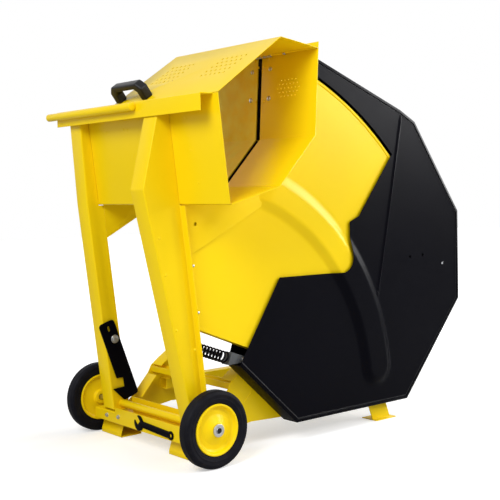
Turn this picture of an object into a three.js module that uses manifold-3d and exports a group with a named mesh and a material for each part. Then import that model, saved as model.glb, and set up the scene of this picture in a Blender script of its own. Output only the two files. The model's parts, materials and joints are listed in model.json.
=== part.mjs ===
// Firewood saw with a rocking cradle. Millimetres, +Z up, +X from the operator into the machine,
// +Y along the log. Everything is laid out from the wheel axle: its centre is at x = 0, and y = 0
// is the outer face of the near wheel. The last lines move the origin under the middle of the machine.
import * as THREE from 'three';
import { mergeVertices } from 'three/addons/utils/BufferGeometryUtils.js';
import ManifoldLibrary from 'manifold-3d';

const manifold = await ManifoldLibrary();
manifold.setup();

// Driving dimensions
const wheelRadius = 125;
const sweepRadius = 1250;
const bladeRadius = 375;
const seatGap = 0.3;
const cutOverrun = 4;
const sheet = 3;
const thinSheet = 2;

// Places along the log, measured from the near wheel's outer face
const troughNear = -172;
const troughFar = 615;
const hoodFar = 403;
const channelNear = -150;
const channelFar = 690;
const coverFace = 74;
const nearLegFace = 80;
const nearLegDepth = 70;
const fanNearFace = 83.3;
const bladePlane = 108;
const fanFarFace = 131;
const farPlateFace = 142;
const farLegFace = 565;
const farLegWidth = 70;

// The axle is as high as a wheel's radius
const axleHeight = wheelRadius;

// Shapes and places as points

// A table of shares of the sweep radius, measured from the axle, becomes points (x, z).
function fromAxle(shares) {
  return shares.map(([across, up]) => [across * sweepRadius, axleHeight + up * sweepRadius]);
}

// A point at an angle from straight up, leaning towards +X.
function polar(radius, degrees, centre = [0, axleHeight]) {
  const angle = THREE.MathUtils.degToRad(degrees);
  return [centre[0] + radius * Math.sin(angle), centre[1] + radius * Math.cos(angle)];
}

function arc(radius, fromDegrees, toDegrees, steps, centre) {
  const points = [];
  for (let step = 0; step <= steps; step += 1) {
    const degrees = fromDegrees + ((toDegrees - fromDegrees) * step) / steps;
    points.push(polar(radius, degrees, centre));
  }
  return points;
}

function circle(centre, radius, steps) {
  return arc(radius, 0, 360, steps, centre).slice(0, -1);
}

// Moves an open line of points sideways to its left, with mitred corners.
function offsetLine(points, distance) {
  return points.map((point, index) => {
    const before = points[Math.max(index - 1, 0)];
    const after = points[Math.min(index + 1, points.length - 1)];
    const isFirst = index === 0;
    const isLast = index === points.length - 1;
    const inLeft = leftOf(isFirst ? point : before, isFirst ? after : point);
    const outLeft = leftOf(isLast ? before : point, isLast ? point : after);
    const sum = [inLeft[0] + outLeft[0], inLeft[1] + outLeft[1]];
    const reach = (2 * distance) / (sum[0] * sum[0] + sum[1] * sum[1]);
    return [point[0] + sum[0] * reach, point[1] + sum[1] * reach];
  });
}

function leftOf(start, end) {
  const run = Math.hypot(end[0] - start[0], end[1] - start[1]);
  return [(start[1] - end[1]) / run, (end[0] - start[0]) / run];
}

// The place on a line of points at a given height.
function acrossAt(points, height) {
  for (let index = 1; index < points.length; index += 1) {
    const [low, high] = [points[index - 1], points[index]];
    const along = (height - low[1]) / (high[1] - low[1]);
    if (along >= 0 && along <= 1) {
      return low[0] + along * (high[0] - low[0]);
    }
  }
  return points[points.length - 1][0];
}

// Solids

// The outline of a shape runs one way round and its holes the other.
function runOf(points, clockwise) {
  const corners = points.map(([u, v]) => new THREE.Vector2(u, v));
  return THREE.ShapeUtils.isClockWise(corners) === clockwise ? corners : corners.reverse();
}

function outlineShape(points, holes = []) {
  const shape = new THREE.Shape(runOf(points, false));
  for (const hole of holes) {
    shape.holes.push(new THREE.Path(runOf(hole, true)));
  }
  return shape;
}

// A flat outline in the X-Z plane, thickened along the log from nearFace to farFace.
function slab(points, nearFace, farFace, holes = []) {
  const depth = farFace - nearFace;
  const geometry = new THREE.ExtrudeGeometry(outlineShape(points, holes), { depth, bevelEnabled: false });
  geometry.rotateX(Math.PI / 2);
  geometry.translate(0, farFace, 0);
  return geometry;
}

// A bent sheet: a line of points in the X-Z plane with a thickness to its left.
function bentSheet(points, thickness, nearFace, farFace) {
  return slab(points.concat(offsetLine(points, thickness).reverse()), nearFace, farFace);
}

// A flat outline in the Y-Z plane, thickened along X from frontFace to rearFace.
function facePlate(points, frontFace, rearFace, holes = []) {
  const depth = rearFace - frontFace;
  const geometry = new THREE.ExtrudeGeometry(outlineShape(points, holes), { depth, bevelEnabled: false });
  const basis = new THREE.Matrix4().makeBasis(
    new THREE.Vector3(0, 1, 0),
    new THREE.Vector3(0, 0, 1),
    new THREE.Vector3(1, 0, 0),
  );
  geometry.applyMatrix4(basis);
  geometry.translate(frontFace, 0, 0);
  return geometry;
}

// A flat outline in the X-Y plane, thickened upwards from low to high.
function planPlate(points, low, high) {
  const blank = { depth: high - low, bevelEnabled: false };
  const geometry = new THREE.ExtrudeGeometry(outlineShape(points), blank);
  geometry.translate(0, 0, low);
  return geometry;
}

function block(from, to) {
  const size = to.map((value, index) => value - from[index]);
  const geometry = new THREE.BoxGeometry(...size);
  geometry.translate(...from.map((value, index) => value + size[index] / 2));
  return geometry;
}

// A round bar along the log.
function bar(centre, radius, nearEnd, farEnd, sides) {
  const geometry = new THREE.CylinderGeometry(radius, radius, farEnd - nearEnd, sides);
  geometry.translate(centre[0], (nearEnd + farEnd) / 2, centre[1]);
  return geometry;
}

// A round bar along X.
function crossBar(centre, radius, frontEnd, rearEnd, sides) {
  const geometry = new THREE.CylinderGeometry(radius, radius, rearEnd - frontEnd, sides);
  geometry.rotateZ(Math.PI / 2);
  geometry.translate((frontEnd + rearEnd) / 2, centre[0], centre[1]);
  return geometry;
}

// A turned piece about a line along the log: a closed profile of (radius, y) pairs.
function turned(centre, profile, steps) {
  const loop = runOf(profile, false);
  const geometry = new THREE.LatheGeometry([...loop, loop[0]], steps);
  geometry.translate(centre[0], 0, centre[1]);
  return geometry;
}

function toSolid(geometry) {
  const bare = geometry.clone();
  bare.deleteAttribute('normal');
  bare.deleteAttribute('uv');
  const merged = mergeVertices(bare);
  return new manifold.Manifold(new manifold.Mesh({
    numProp: 3,
    vertProperties: new Float32Array(merged.attributes.position.array),
    triVerts: new Uint32Array(merged.index.array),
  }));
}

function toGeometry(solid) {
  const mesh = solid.getMesh();
  const geometry = new THREE.BufferGeometry();
  geometry.setAttribute('position', new THREE.BufferAttribute(mesh.vertProperties, 3));
  geometry.setIndex(new THREE.BufferAttribute(mesh.triVerts, 1));
  geometry.computeVertexNormals();
  return geometry;
}

function joined(first, ...others) {
  return toGeometry(others.reduce((solid, other) => solid.add(toSolid(other)), toSolid(first)));
}

function cut(body, ...tools) {
  return toGeometry(tools.reduce((solid, tool) => solid.subtract(toSolid(tool)), toSolid(body)));
}

function shared(first, second) {
  return toGeometry(toSolid(first).intersect(toSolid(second)));
}

// The machine and its finishes
const machine = new THREE.Group();
const finishes = {
  yellow: { color: 0xf7d915, roughness: 0.38, metalness: 0 },
  black: { color: 0x1a1a1e, roughness: 0.45, metalness: 0 },
  rubber: { color: 0x16171a, roughness: 0.8, metalness: 0 },
  zinc: { color: 0xb9bcc0, roughness: 0.35, metalness: 0.9 },
  grey: { color: 0x4a4c50, roughness: 0.5, metalness: 0.3 },
  steel: { color: 0x9a9da2, roughness: 0.3, metalness: 1 },
  green: { color: 0x1f8f3a, roughness: 0.4, metalness: 0 },
  red: { color: 0xc4161c, roughness: 0.4, metalness: 0 },
};

function add(name, geometry, finish) {
  const mesh = new THREE.Mesh(geometry, new THREE.MeshStandardMaterial(finishes[finish]));
  mesh.name = name;
  machine.add(mesh);
}

const axle = [0, axleHeight];

// Wheels, tyres and their axle
const wheelWidth = 46;
const farWheelNear = 704;
const rimRadius = 83;
const shaftRadius = 10;
const runningGap = 0.4;
const tyreShoulder = 9;
const tyreCrown = 3;
const rimLip = 6;
const hubRadius = 26;
const rimDish = 12;
const washerRadius = 18;
const washerThickness = 4;
const shaftOut = 6;
const wheelSteps = 40;
const wheelNames = ['near', 'far'];
const wheelFaces = [0, farWheelNear];

wheelNames.forEach((side, index) => {
  const face = wheelFaces[index];
  const back = face + wheelWidth;
  const tyreBore = rimRadius + seatGap;
  add(`tyre_${side}`, turned(axle, [
    [tyreBore, face + tyreCrown],
    [wheelRadius - tyreShoulder, face],
    [wheelRadius - tyreCrown, face + tyreCrown],
    [wheelRadius, face + tyreShoulder],
    [wheelRadius, back - tyreShoulder],
    [wheelRadius - tyreCrown, back - tyreCrown],
    [wheelRadius - tyreShoulder, back],
    [tyreBore, back - tyreCrown],
  ], wheelSteps), 'rubber');
  const bore = shaftRadius + runningGap;
  const outward = index === 0 ? 1 : -1;
  const outer = index === 0 ? face : back;
  const inner = index === 0 ? back : face;
  const profile = [
    [bore, outer],
    [hubRadius - rimLip, outer],
    [hubRadius, outer + outward * rimLip],
    [hubRadius + rimDish, outer + outward * rimDish],
    [rimRadius - rimDish, outer + outward * (rimLip + rimLip)],
    [rimRadius - rimLip, outer + outward * tyreCrown],
    [rimRadius, outer + outward * tyreCrown],
    [rimRadius, inner - outward * tyreCrown],
    [rimRadius - rimLip, inner - outward * tyreCrown],
    [rimRadius - rimDish, inner - outward * rimDish],
    [hubRadius, inner - outward * rimDish],
    [hubRadius, inner],
    [bore, inner],
  ];
  add(`wheel_${side}`, turned(axle, profile, wheelSteps), 'yellow');
});

const shaftSides = 24;
const shaftNear = -shaftOut;
const shaftFar = farWheelNear + wheelWidth + shaftOut;
add('axle_shaft', bar(axle, shaftRadius, shaftNear, shaftFar, shaftSides), 'steel');
const washerHole = circle(axle, shaftRadius + seatGap, shaftSides);
const washerRim = circle(axle, washerRadius, shaftSides);
add('axle_washer_near', slab(washerRim, -seatGap - washerThickness, -seatGap, [washerHole]), 'zinc');
const farWasherFace = farWheelNear + wheelWidth + seatGap;
add('axle_washer_far', slab(washerRim, farWasherFace, farWasherFace + washerThickness, [washerHole]), 'zinc');

// Front beam: a channel, open to the rear, with its front feet and the axle cheeks
const beamFront = -36;
const beamRear = 40;
const beamBottom = 57;
const beamTop = 97;
const beamNear = 60;
const beamChannel = slab([
  [beamFront, beamBottom],
  [beamRear, beamBottom],
  [beamRear, beamBottom + sheet],
  [beamFront + sheet, beamBottom + sheet],
  [beamFront + sheet, beamTop - sheet],
  [beamRear, beamTop - sheet],
  [beamRear, beamTop],
  [beamFront, beamTop],
], beamNear, channelFar);
// Between the legs the beam's front and rear faces stand up higher, and the pivot tube lies between them.
const lipSpan = [153, 556];
const frontLipTop = 114;
const rearLipTop = 143;
const lipBase = beamTop - sheet;
const frontLip = block([beamFront, lipSpan[0], lipBase], [beamFront + sheet, lipSpan[1], frontLipTop]);
const rearLip = block([beamRear - sheet, lipSpan[0], lipBase], [beamRear, lipSpan[1], rearLipTop]);
add('front_beam', joined(beamChannel, frontLip, rearLip), 'yellow');

const soleFront = -11;
const soleRear = 77;
const footTopFront = 4;
const footTopRear = 38;
const footLip = 14;
// A foot is a folded sheet sleeve, open to both sides: a low upright lip, then walls that lean inwards.
function footSleeve(soleEnds, topEnds, topHeight, nearFace, farFace) {
  const outer = [
    [soleEnds[0], 0],
    [soleEnds[1], 0],
    [soleEnds[1], footLip],
    [topEnds[1], topHeight],
    [topEnds[0], topHeight],
    [soleEnds[0], footLip],
  ];
  const inner = [
    [soleEnds[0] + sheet, sheet],
    [soleEnds[1] - sheet, sheet],
    [soleEnds[1] - sheet, footLip - thinSheet],
    [topEnds[1] - sheet, topHeight - sheet],
    [topEnds[0] + sheet, topHeight - sheet],
    [soleEnds[0] + sheet, footLip - thinSheet],
  ];
  return slab(outer, nearFace, farFace, [inner]);
}
const frontFootTop = beamBottom - seatGap;
const nearFootSpan = [130, 260];
const farFootSpan = [560, channelFar];
const frontSole = [soleFront, soleRear];
const frontFootCrown = [footTopFront, footTopRear];
add('front_foot_near', footSleeve(frontSole, frontFootCrown, frontFootTop, ...nearFootSpan), 'yellow');
add('front_foot_far', footSleeve(frontSole, frontFootCrown, frontFootTop, ...farFootSpan), 'yellow');

const cheekThickness = 4;
const cheekRadius = 25;
const cheekNearFace = 64;
const cheekFarFace = 640;
const archSteps = 10;
// An axle cheek stands on the beam and is rounded over the axle.
function axleCheek(nearFace) {
  const outline = arc(cheekRadius, -90, 90, archSteps).concat([
    [cheekRadius, beamTop + seatGap],
    [-cheekRadius, beamTop + seatGap],
  ]);
  return slab(outline, nearFace, nearFace + cheekThickness, [washerHole]);
}
add('axle_cheek_near', axleCheek(cheekNearFace), 'yellow');
add('axle_cheek_far', axleCheek(cheekFarFace), 'yellow');

// Side webs, cross member, far rail, rear crossbar and rear feet
const webThickness = 4;
const webNearFace = farPlateFace + thinSheet + seatGap;
const webFarFace = 620;
const webStart = beamRear + seatGap;
const webBottomShares = [
  [0.2024, -0.0312],
  [0.3184, -0.036],
];
const webUpperShares = [
  [0.34, 0.004],
  [0.304, 0.052],
  [0.228, 0.14],
  [0.2, 0.132],
  [0.16, 0.1064],
  [0.1328, 0.0856],
  [0.1224, 0.0664],
  [0.0672, 0.0056],
];
const webFlangeDepth = 60;
const upperFlange = fromAxle([[0.2, 0.132], [0.16, 0.1064], [0.1376, 0.0896]]);
const lowerFlange = fromAxle([[0.12, 0.064], [0.0672, 0.0056]]);
// A side web is a plate with a flange along its front edge, broken where the cross member passes.
function sideWeb(plateFace, flangeNear, flangeFar) {
  const outline = [
    [webStart, beamBottom],
    ...fromAxle(webBottomShares),
    ...fromAxle(webUpperShares),
    [webStart, beamTop],
  ];
  return joined(
    slab(outline, plateFace, plateFace + webThickness),
    bentSheet(upperFlange, sheet, flangeNear, flangeFar),
    bentSheet(lowerFlange, sheet, flangeNear, flangeFar),
  );
}
const webFarBack = webFarFace + webThickness;
add('side_web_near', sideWeb(webNearFace, webNearFace, webNearFace + webFlangeDepth), 'yellow');
add('side_web_far', sideWeb(webFarFace, webFarBack - webFlangeDepth, webFarBack), 'yellow');

const memberFront = 165;
const memberSide = 40;
const memberBottom = 208;
const memberTop = 232;
const memberRear = memberFront + memberSide;
add('cross_member', slab([
  [memberFront, memberBottom],
  [memberRear, memberBottom],
  [memberRear, memberTop],
  [memberRear - sheet, memberTop],
  [memberRear - sheet, memberBottom + sheet],
  [memberFront + sheet, memberBottom + sheet],
  [memberFront + sheet, memberTop],
  [memberFront, memberTop],
], webNearFace + webThickness + seatGap, webFarFace - seatGap), 'yellow');

const railEnd = 930;
const railBottom = 142;
const railFarSide = webFarFace - seatGap;
const railNearSide = railFarSide - memberSide;
const railStart = memberRear + seatGap;
// A square tube seen from its end, as an outline with a hole.
function tubeSection(firstLow, secondLow) {
  const outer = [
    [firstLow, secondLow],
    [firstLow + memberSide, secondLow],
    [firstLow + memberSide, secondLow + memberSide],
    [firstLow, secondLow + memberSide],
  ];
  const inner = [
    [firstLow + sheet, secondLow + sheet],
    [firstLow + memberSide - sheet, secondLow + sheet],
    [firstLow + memberSide - sheet, secondLow + memberSide - sheet],
    [firstLow + sheet, secondLow + memberSide - sheet],
  ];
  return [outer, inner];
}
const [railOuter, railInner] = tubeSection(railNearSide, railBottom);
add('far_rail', facePlate(railOuter, railStart, railEnd, [railInner]), 'yellow');

const crossbarFront = 880;
const [crossbarOuter, crossbarInner] = tubeSection(crossbarFront, railBottom);
add('rear_crossbar', slab(crossbarOuter, webNearFace, railNearSide - seatGap, [crossbarInner]), 'yellow');

// The near rear foot is a slanting strap under the guard, welded to a flat sole.
const guardBottom = 70;
const rearFootTop = guardBottom - seatGap;
const strapLow = [828, 922];
const strapLean = 27;
const strapFace = 118;
const strapThickness = 4;
const strap = slab([
  [strapLow[0], 0],
  [strapLow[1], 0],
  [strapLow[1] - strapLean, rearFootTop],
  [strapLow[0] - strapLean, rearFootTop],
], strapFace, strapFace + strapThickness);
const rearSole = [826, 936];
const rearSoleSpan = [98, 174];
const rearPlate = block([rearSole[0], rearSoleSpan[0], 0], [rearSole[1], rearSoleSpan[1], sheet]);
add('rear_foot_near', joined(strap, rearPlate), 'yellow');
const rearFarCrown = [856, 916];
const rearFarTop = railBottom - seatGap;
add('rear_foot_far', footSleeve(rearSole, rearFarCrown, rearFarTop, railNearSide, railFarSide), 'yellow');

// Spanner kept on the front of the beam
const spannerThickness = 4;
const spannerRear = beamFront - seatGap;
const spannerEye = [208, 77];
const spannerEyeRadius = 15;
const spannerEyeHole = 6.5;
const spannerJaw = [398, 86];
const spannerJawRadius = 27;
const spannerGrip = 11;
const spannerMouth = 12;
const mouthTurn = THREE.MathUtils.degToRad(45);
function mouthPoint(along, across) {
  const corner = new THREE.Vector2(along, across).rotateAround(new THREE.Vector2(), mouthTurn);
  return [spannerJaw[0] + corner.x, spannerJaw[1] + corner.y];
}
const spannerSteps = 16;
const spannerBody = joined(
  facePlate([
    [spannerEye[0], spannerEye[1] - spannerGrip],
    [spannerJaw[0], spannerJaw[1] - spannerGrip],
    [spannerJaw[0], spannerJaw[1] + spannerGrip],
    [spannerEye[0], spannerEye[1] + spannerGrip],
  ], spannerRear - spannerThickness, spannerRear),
  facePlate(circle(spannerEye, spannerEyeRadius, spannerSteps), spannerRear - spannerThickness, spannerRear),
  facePlate(circle(spannerJaw, spannerJawRadius, spannerSteps), spannerRear - spannerThickness, spannerRear),
);
const cutFront = spannerRear - spannerThickness - cutOverrun;
const cutRear = spannerRear + cutOverrun;
add('spanner', cut(
  spannerBody,
  facePlate(circle(spannerEye, spannerEyeHole, spannerSteps), cutFront, cutRear),
  facePlate([
    mouthPoint(0, -spannerMouth),
    mouthPoint(spannerJawRadius + cutOverrun, -spannerMouth),
    mouthPoint(spannerJawRadius + cutOverrun, spannerMouth),
    mouthPoint(0, spannerMouth),
  ], cutFront, cutRear),
), 'black');

// Guard: two plates with the cradle's cut-out, a rim strip and a front strip
const guardShares = [
  [0.1216, 0.14],
  [0.3208, -0.044],
  [0.7768, -0.044],
  [1.0272, 0.2456],
  [1.0248, 0.5248],
  [0.8216, 0.8008],
  [0.7576, 0.8336],
  [0.4208, 0.9616],
  [0.344, 0.9904],
];
const cutOutShares = [
  [0.576, 0.5208],
  [0.5384, 0.5056],
];
const cutOutCornerShares = [[0.5384, 0.3616]];
const cutOutRestShares = [[0.2664, 0.364]];
const guardLine = fromAxle(guardShares);
const guardOutreach = 5.5;
const guardArcRadius = sweepRadius + guardOutreach;
const guardArcStart = 19;
const guardArcEnd = 45.7;
const arcSteps = 20;
const cutOutFillet = 50;
const filletSteps = 5;
const cutOutCorner = fromAxle(cutOutCornerShares)[0];
const cutOutFilletCentre = [cutOutCorner[0] - cutOutFillet, cutOutCorner[1] + cutOutFillet];
const guardOutline = [
  ...guardLine,
  ...arc(guardArcRadius, guardArcStart, guardArcEnd, arcSteps),
  ...fromAxle(cutOutShares),
  ...arc(cutOutFillet, 90, 180, filletSteps, cutOutFilletCentre),
  ...fromAxle(cutOutRestShares),
];

const bladeCentreShares = [[0.5096, 0.3976]];
const bladeCentre = fromAxle(bladeCentreShares)[0];
const motorShaftRadius = 14;
const hubTrack = Math.hypot(bladeCentre[0], bladeCentre[1] - axleHeight);

// The outline of a track about the axle, square at its start and round at its end.
function track(innerRadius, outerRadius, fromDegrees, toDegrees, steps) {
  const half = (outerRadius - innerRadius) / 2;
  const endCentre = polar(innerRadius + half, toDegrees);
  return [
    ...arc(innerRadius, fromDegrees, toDegrees, steps),
    ...arc(half, toDegrees - 180, toDegrees - 360, archSteps, endCentre).slice(1, -1),
    ...arc(outerRadius, toDegrees, fromDegrees, steps),
  ];
}

const trackHalf = 74.5;
const trackRise = 17;
const trackEnd = 83.2;
const trackStart = 30;
const trackRunInDegrees = 1;
const trackSteps = 24;
const coverInner = coverFace + thinSheet;
const coverTrackFace = coverFace - trackRise;
const coverTrackOuter = slab(
  track(hubTrack - trackHalf, hubTrack + trackHalf, trackStart, trackEnd, trackSteps),
  coverTrackFace,
  coverInner,
);
const coverTrackInner = slab(
  track(
    hubTrack - trackHalf + thinSheet,
    hubTrack + trackHalf - thinSheet,
    trackStart - trackRunInDegrees,
    trackEnd,
    trackSteps,
  ),
  coverTrackFace + thinSheet,
  coverInner + cutOverrun,
);
const coverBlank = joined(slab(guardOutline, coverFace, coverInner), coverTrackOuter);
const coverPrism = slab(guardOutline, coverTrackFace - cutOverrun, coverInner);
add('guard_cover', cut(shared(coverBlank, coverPrism), coverTrackInner), 'black');

// The far plate carries the motor, so its cut-out stays above the shaft.
const farCutOutShares = [
  [0.576, 0.5208],
  [0.52, 0.484],
  [0.24, 0.476],
];
const farPlateOutline = [
  ...guardLine,
  ...arc(guardArcRadius, guardArcStart, guardArcEnd, arcSteps),
  ...fromAxle(farCutOutShares),
];
const shaftPass = 20;
const farPlateHole = circle(bladeCentre, shaftPass, shaftSides);
const farPlateBack = farPlateFace + thinSheet;
add('guard_far_plate', slab(farPlateOutline, farPlateFace, farPlateBack, [farPlateHole]), 'black');

const rimNear = coverInner + seatGap;
const rimFar = farPlateFace - seatGap;
add('guard_rim', bentSheet(guardLine.slice(1), sheet, rimNear, rimFar), 'black');
const frontStripEnd = offsetLine(guardLine.slice(0, 2), seatGap)[1];
const stripStart = guardLine[0];
const stripShare = 0.985;
const stripFinish = [
  stripStart[0] + (frontStripEnd[0] - stripStart[0]) * stripShare,
  stripStart[1] + (frontStripEnd[1] - stripStart[1]) * stripShare,
];
add('guard_front_strip', bentSheet([stripStart, stripFinish], sheet, rimNear, rimFar), 'black');

// Spring: the seat on the near leg, the bracket on the guard and the open coils between
const springNearEnd = [-71, 400];
const springFarEnd = [123.5, 326.8];
const springRadius = 19;
const springWire = 5;
const springTurns = 14;
const springLength = Math.hypot(springFarEnd[0] - springNearEnd[0], springFarEnd[1] - springNearEnd[1]);
const springAlong = [
  (springFarEnd[0] - springNearEnd[0]) / springLength,
  (springFarEnd[1] - springNearEnd[1]) / springLength,
];
const springUp = [-springAlong[1], springAlong[0]];

function springPlace(along, up) {
  return [
    springNearEnd[0] + springAlong[0] * along + springUp[0] * up,
    springNearEnd[1] + springAlong[1] * along + springUp[1] * up,
  ];
}

// Centre line of the wire: straight in from the seat, round in even turns, straight out again.
function springLine() {
  const turnSteps = 8;
  const coil = springRadius - springWire / 2;
  const first = seatGap + springWire;
  const last = springLength - seatGap - springWire;
  const points = [];
  const place = (along, angle) => {
    const [x, z] = springPlace(along, coil * Math.cos(angle));
    points.push(new THREE.Vector3(x, bladePlane + coil * Math.sin(angle), z));
  };
  place(seatGap, 0);
  const count = springTurns * turnSteps;
  for (let step = 0; step <= count; step += 1) {
    place(first + ((last - first) * step) / count, (2 * Math.PI * step) / turnSteps);
  }
  place(springLength - seatGap, 0);
  return points;
}

// A tube of a few sides carried along a line of points, its rings turned as little as possible.
function tubeAlong(points, radius, sides) {
  const positions = [];
  const index = [];
  let across = new THREE.Vector3(0, 1, 0);
  points.forEach((point, ring) => {
    const before = points[Math.max(ring - 1, 0)];
    const after = points[Math.min(ring + 1, points.length - 1)];
    const incoming = point.clone().sub(before).normalize();
    const outgoing = after.clone().sub(point).normalize();
    const ahead = incoming.add(outgoing).normalize();
    across = across.clone().addScaledVector(ahead, -across.dot(ahead)).normalize();
    const up = ahead.clone().cross(across);
    for (let side = 0; side < sides; side += 1) {
      const angle = (2 * Math.PI * side) / sides;
      const corner = point.clone();
      corner.addScaledVector(across, radius * Math.cos(angle));
      corner.addScaledVector(up, radius * Math.sin(angle));
      positions.push(corner.x, corner.y, corner.z);
      if (ring > 0) {
        const here = ring * sides + side;
        const next = ring * sides + ((side + 1) % sides);
        index.push(here - sides, next - sides, next, here - sides, next, here);
      }
    }
  });
  const lastRing = (points.length - 1) * sides;
  for (let side = 1; side < sides - 1; side += 1) {
    index.push(0, side + 1, side);
    index.push(lastRing, lastRing + side, lastRing + side + 1);
  }
  const geometry = new THREE.BufferGeometry();
  geometry.setAttribute('position', new THREE.Float32BufferAttribute(positions, 3));
  geometry.setIndex(index);
  geometry.computeVertexNormals();
  return geometry;
}

const wireSides = 5;
const wireLine = springLine();
add('return_spring', tubeAlong(wireLine, springWire / 2, wireSides), 'black');

// The least gap of the wire to itself, between points more than half a turn apart.
const halfTurn = 4;
let leastGap = Infinity;
wireLine.forEach((point, index) => {
  wireLine.slice(index + halfTurn + 1).forEach((other) => {
    leastGap = Math.min(leastGap, point.distanceTo(other) - springWire);
  });
});
console.log(`return spring: least gap to itself ${leastGap.toFixed(2)} mm`);

const bracketNear = 88;
const bracketFar = 2 * bladePlane - bracketNear;
const bracketHalf = 22;
const bracketReach = 62;
const bracketLift = 2;
const bracketStart = springLength + seatGap;
const bracketPlate = 4;
const bracketBody = slab([
  springPlace(bracketStart, -bracketHalf),
  springPlace(bracketStart + bracketReach, bracketLift),
  springPlace(bracketStart + bracketReach, bracketHalf),
  springPlace(bracketStart, bracketHalf),
], bracketNear, bracketFar);
const bracketHollow = slab([
  springPlace(bracketStart + bracketPlate, -bracketHalf - bracketHalf),
  springPlace(bracketStart + bracketReach + cutOverrun, -bracketHalf - bracketHalf),
  springPlace(bracketStart + bracketReach + cutOverrun, bracketHalf - bracketPlate),
  springPlace(bracketStart + bracketPlate, bracketHalf - bracketPlate),
], bracketNear + bracketPlate, bracketFar - bracketPlate);
const bracketBoltAlong = 50;
const bracketBoltUp = 10;
const bracketBoltCentre = springPlace(springLength + bracketBoltAlong, bracketBoltUp);
const bracketBoltRadius = 5;
const boltSides = 12;
const boltHead = 8;
const boltPassRadius = bracketBoltRadius + seatGap;
const boltPass = bar(bracketBoltCentre, boltPassRadius, rimNear, rimFar, boltSides);
add('spring_bracket', cut(bracketBody, bracketHollow, boltPass), 'grey');
add('bracket_bolt', joined(
  bar(bracketBoltCentre, bracketBoltRadius, rimNear, rimFar, boltSides),
  bar(bracketBoltCentre, boltHead, rimNear, bracketNear - seatGap, boltSides),
  bar(bracketBoltCentre, boltHead, bracketFar + seatGap, rimFar, boltSides),
), 'zinc');

// Motor, terminal box, switch box and power inlet behind the far plate
const motorRadius = 100;
const motorFace = farPlateBack + seatGap;
const motorFlangeRadius = 80;
const motorFlangeThickness = 12;
const motorLength = 224;
const cowlLength = 50;
const cowlWall = 3;
const motorSteps = 32;
const motorBore = motorShaftRadius + runningGap;
const shaftEnd = 195;
const motorStart = motorFace + motorFlangeThickness + seatGap;
const motorFinish = motorStart + motorLength;
const motorRing = circle(bladeCentre, motorFlangeRadius, motorSteps);
add('motor_flange', slab(motorRing, motorFace, motorFace + motorFlangeThickness, [farPlateHole]), 'grey');
const boreEnd = shaftEnd + cutOverrun;
add('motor_housing', turned(bladeCentre, [
  [motorBore, motorStart],
  [motorBore, boreEnd],
  [0, boreEnd],
  [0, motorFinish],
  [motorRadius, motorFinish],
  [motorRadius, motorStart],
], motorSteps), 'grey');
const cowlStart = motorFinish + seatGap;
add('motor_cowl', turned(bladeCentre, [
  [motorRadius - cowlWall, cowlStart],
  [motorRadius - cowlWall, cowlStart + cowlLength - cowlWall],
  [0, cowlStart + cowlLength - cowlWall],
  [0, cowlStart + cowlLength],
  [motorRadius - cowlWall, cowlStart + cowlLength],
  [motorRadius, cowlStart + cowlLength - cowlWall],
  [motorRadius, cowlStart],
], motorSteps), 'black');

const boxNear = 250;
const boxFar = 360;
const boxBottom = 560;
const boxTop = 684;
const boxFront = 440;
const boxRear = 504;
const saddleReach = 60;
const saddleRadius = motorRadius + seatGap;
const motorEnvelope = bar(bladeCentre, saddleRadius, boxNear - cutOverrun, boxFar + cutOverrun, motorSteps);
const saddle = block(
  [boxRear + seatGap, boxNear, boxBottom],
  [boxRear + saddleReach, boxFar, boxTop],
);
add('terminal_box', cut(saddle, motorEnvelope), 'black');

const startRadius = 11;
const stopRadius = 16;
const buttonTravel = 3.5;
const buttonDepth = 12;
const buttonOut = 6;
const buttonGap = 0.5;
const buttonSides = 20;
const buttonShares = [0.3, 0.72];
const buttonMiddle = (boxNear + boxFar) / 2;
const startCentre = [buttonMiddle, boxBottom + buttonShares[1] * (boxTop - boxBottom)];
const stopCentre = [buttonMiddle, boxBottom + buttonShares[0] * (boxTop - boxBottom)];
const holeStart = boxFront - cutOverrun;
const holeEnd = boxFront + buttonDepth + buttonTravel + buttonGap;
add('switch_box', cut(
  block([boxFront, boxNear, boxBottom], [boxRear, boxFar, boxTop]),
  crossBar(startCentre, startRadius + buttonGap, holeStart, holeEnd, buttonSides),
  crossBar(stopCentre, stopRadius + buttonGap, holeStart, holeEnd, buttonSides),
), 'black');
const buttonRear = boxFront + buttonDepth;
const startFace = boxFront - buttonOut;
const stopFace = startFace - buttonTravel;
add('start_button', crossBar(startCentre, startRadius, startFace, buttonRear, buttonSides), 'green');
add('stop_button', crossBar(stopCentre, stopRadius, stopFace, buttonRear, buttonSides), 'red');

const inletRadius = 24;
const inletWall = 3;
const inletLength = 46;
const inletBase = 12;
const inletCentre = [(boxFront + boxRear) / 2, buttonMiddle];
const inletTop = boxBottom - seatGap;
function uprightBar(radius, low, high) {
  const geometry = new THREE.CylinderGeometry(radius, radius, high - low, shaftSides);
  geometry.rotateX(Math.PI / 2);
  geometry.translate(inletCentre[0], inletCentre[1], (low + high) / 2);
  return geometry;
}
const inletLow = inletTop - inletLength;
add('power_inlet', cut(
  uprightBar(inletRadius, inletLow, inletTop),
  uprightBar(inletRadius - inletWall, inletLow - cutOverrun, inletTop - inletBase),
), 'red');

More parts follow.
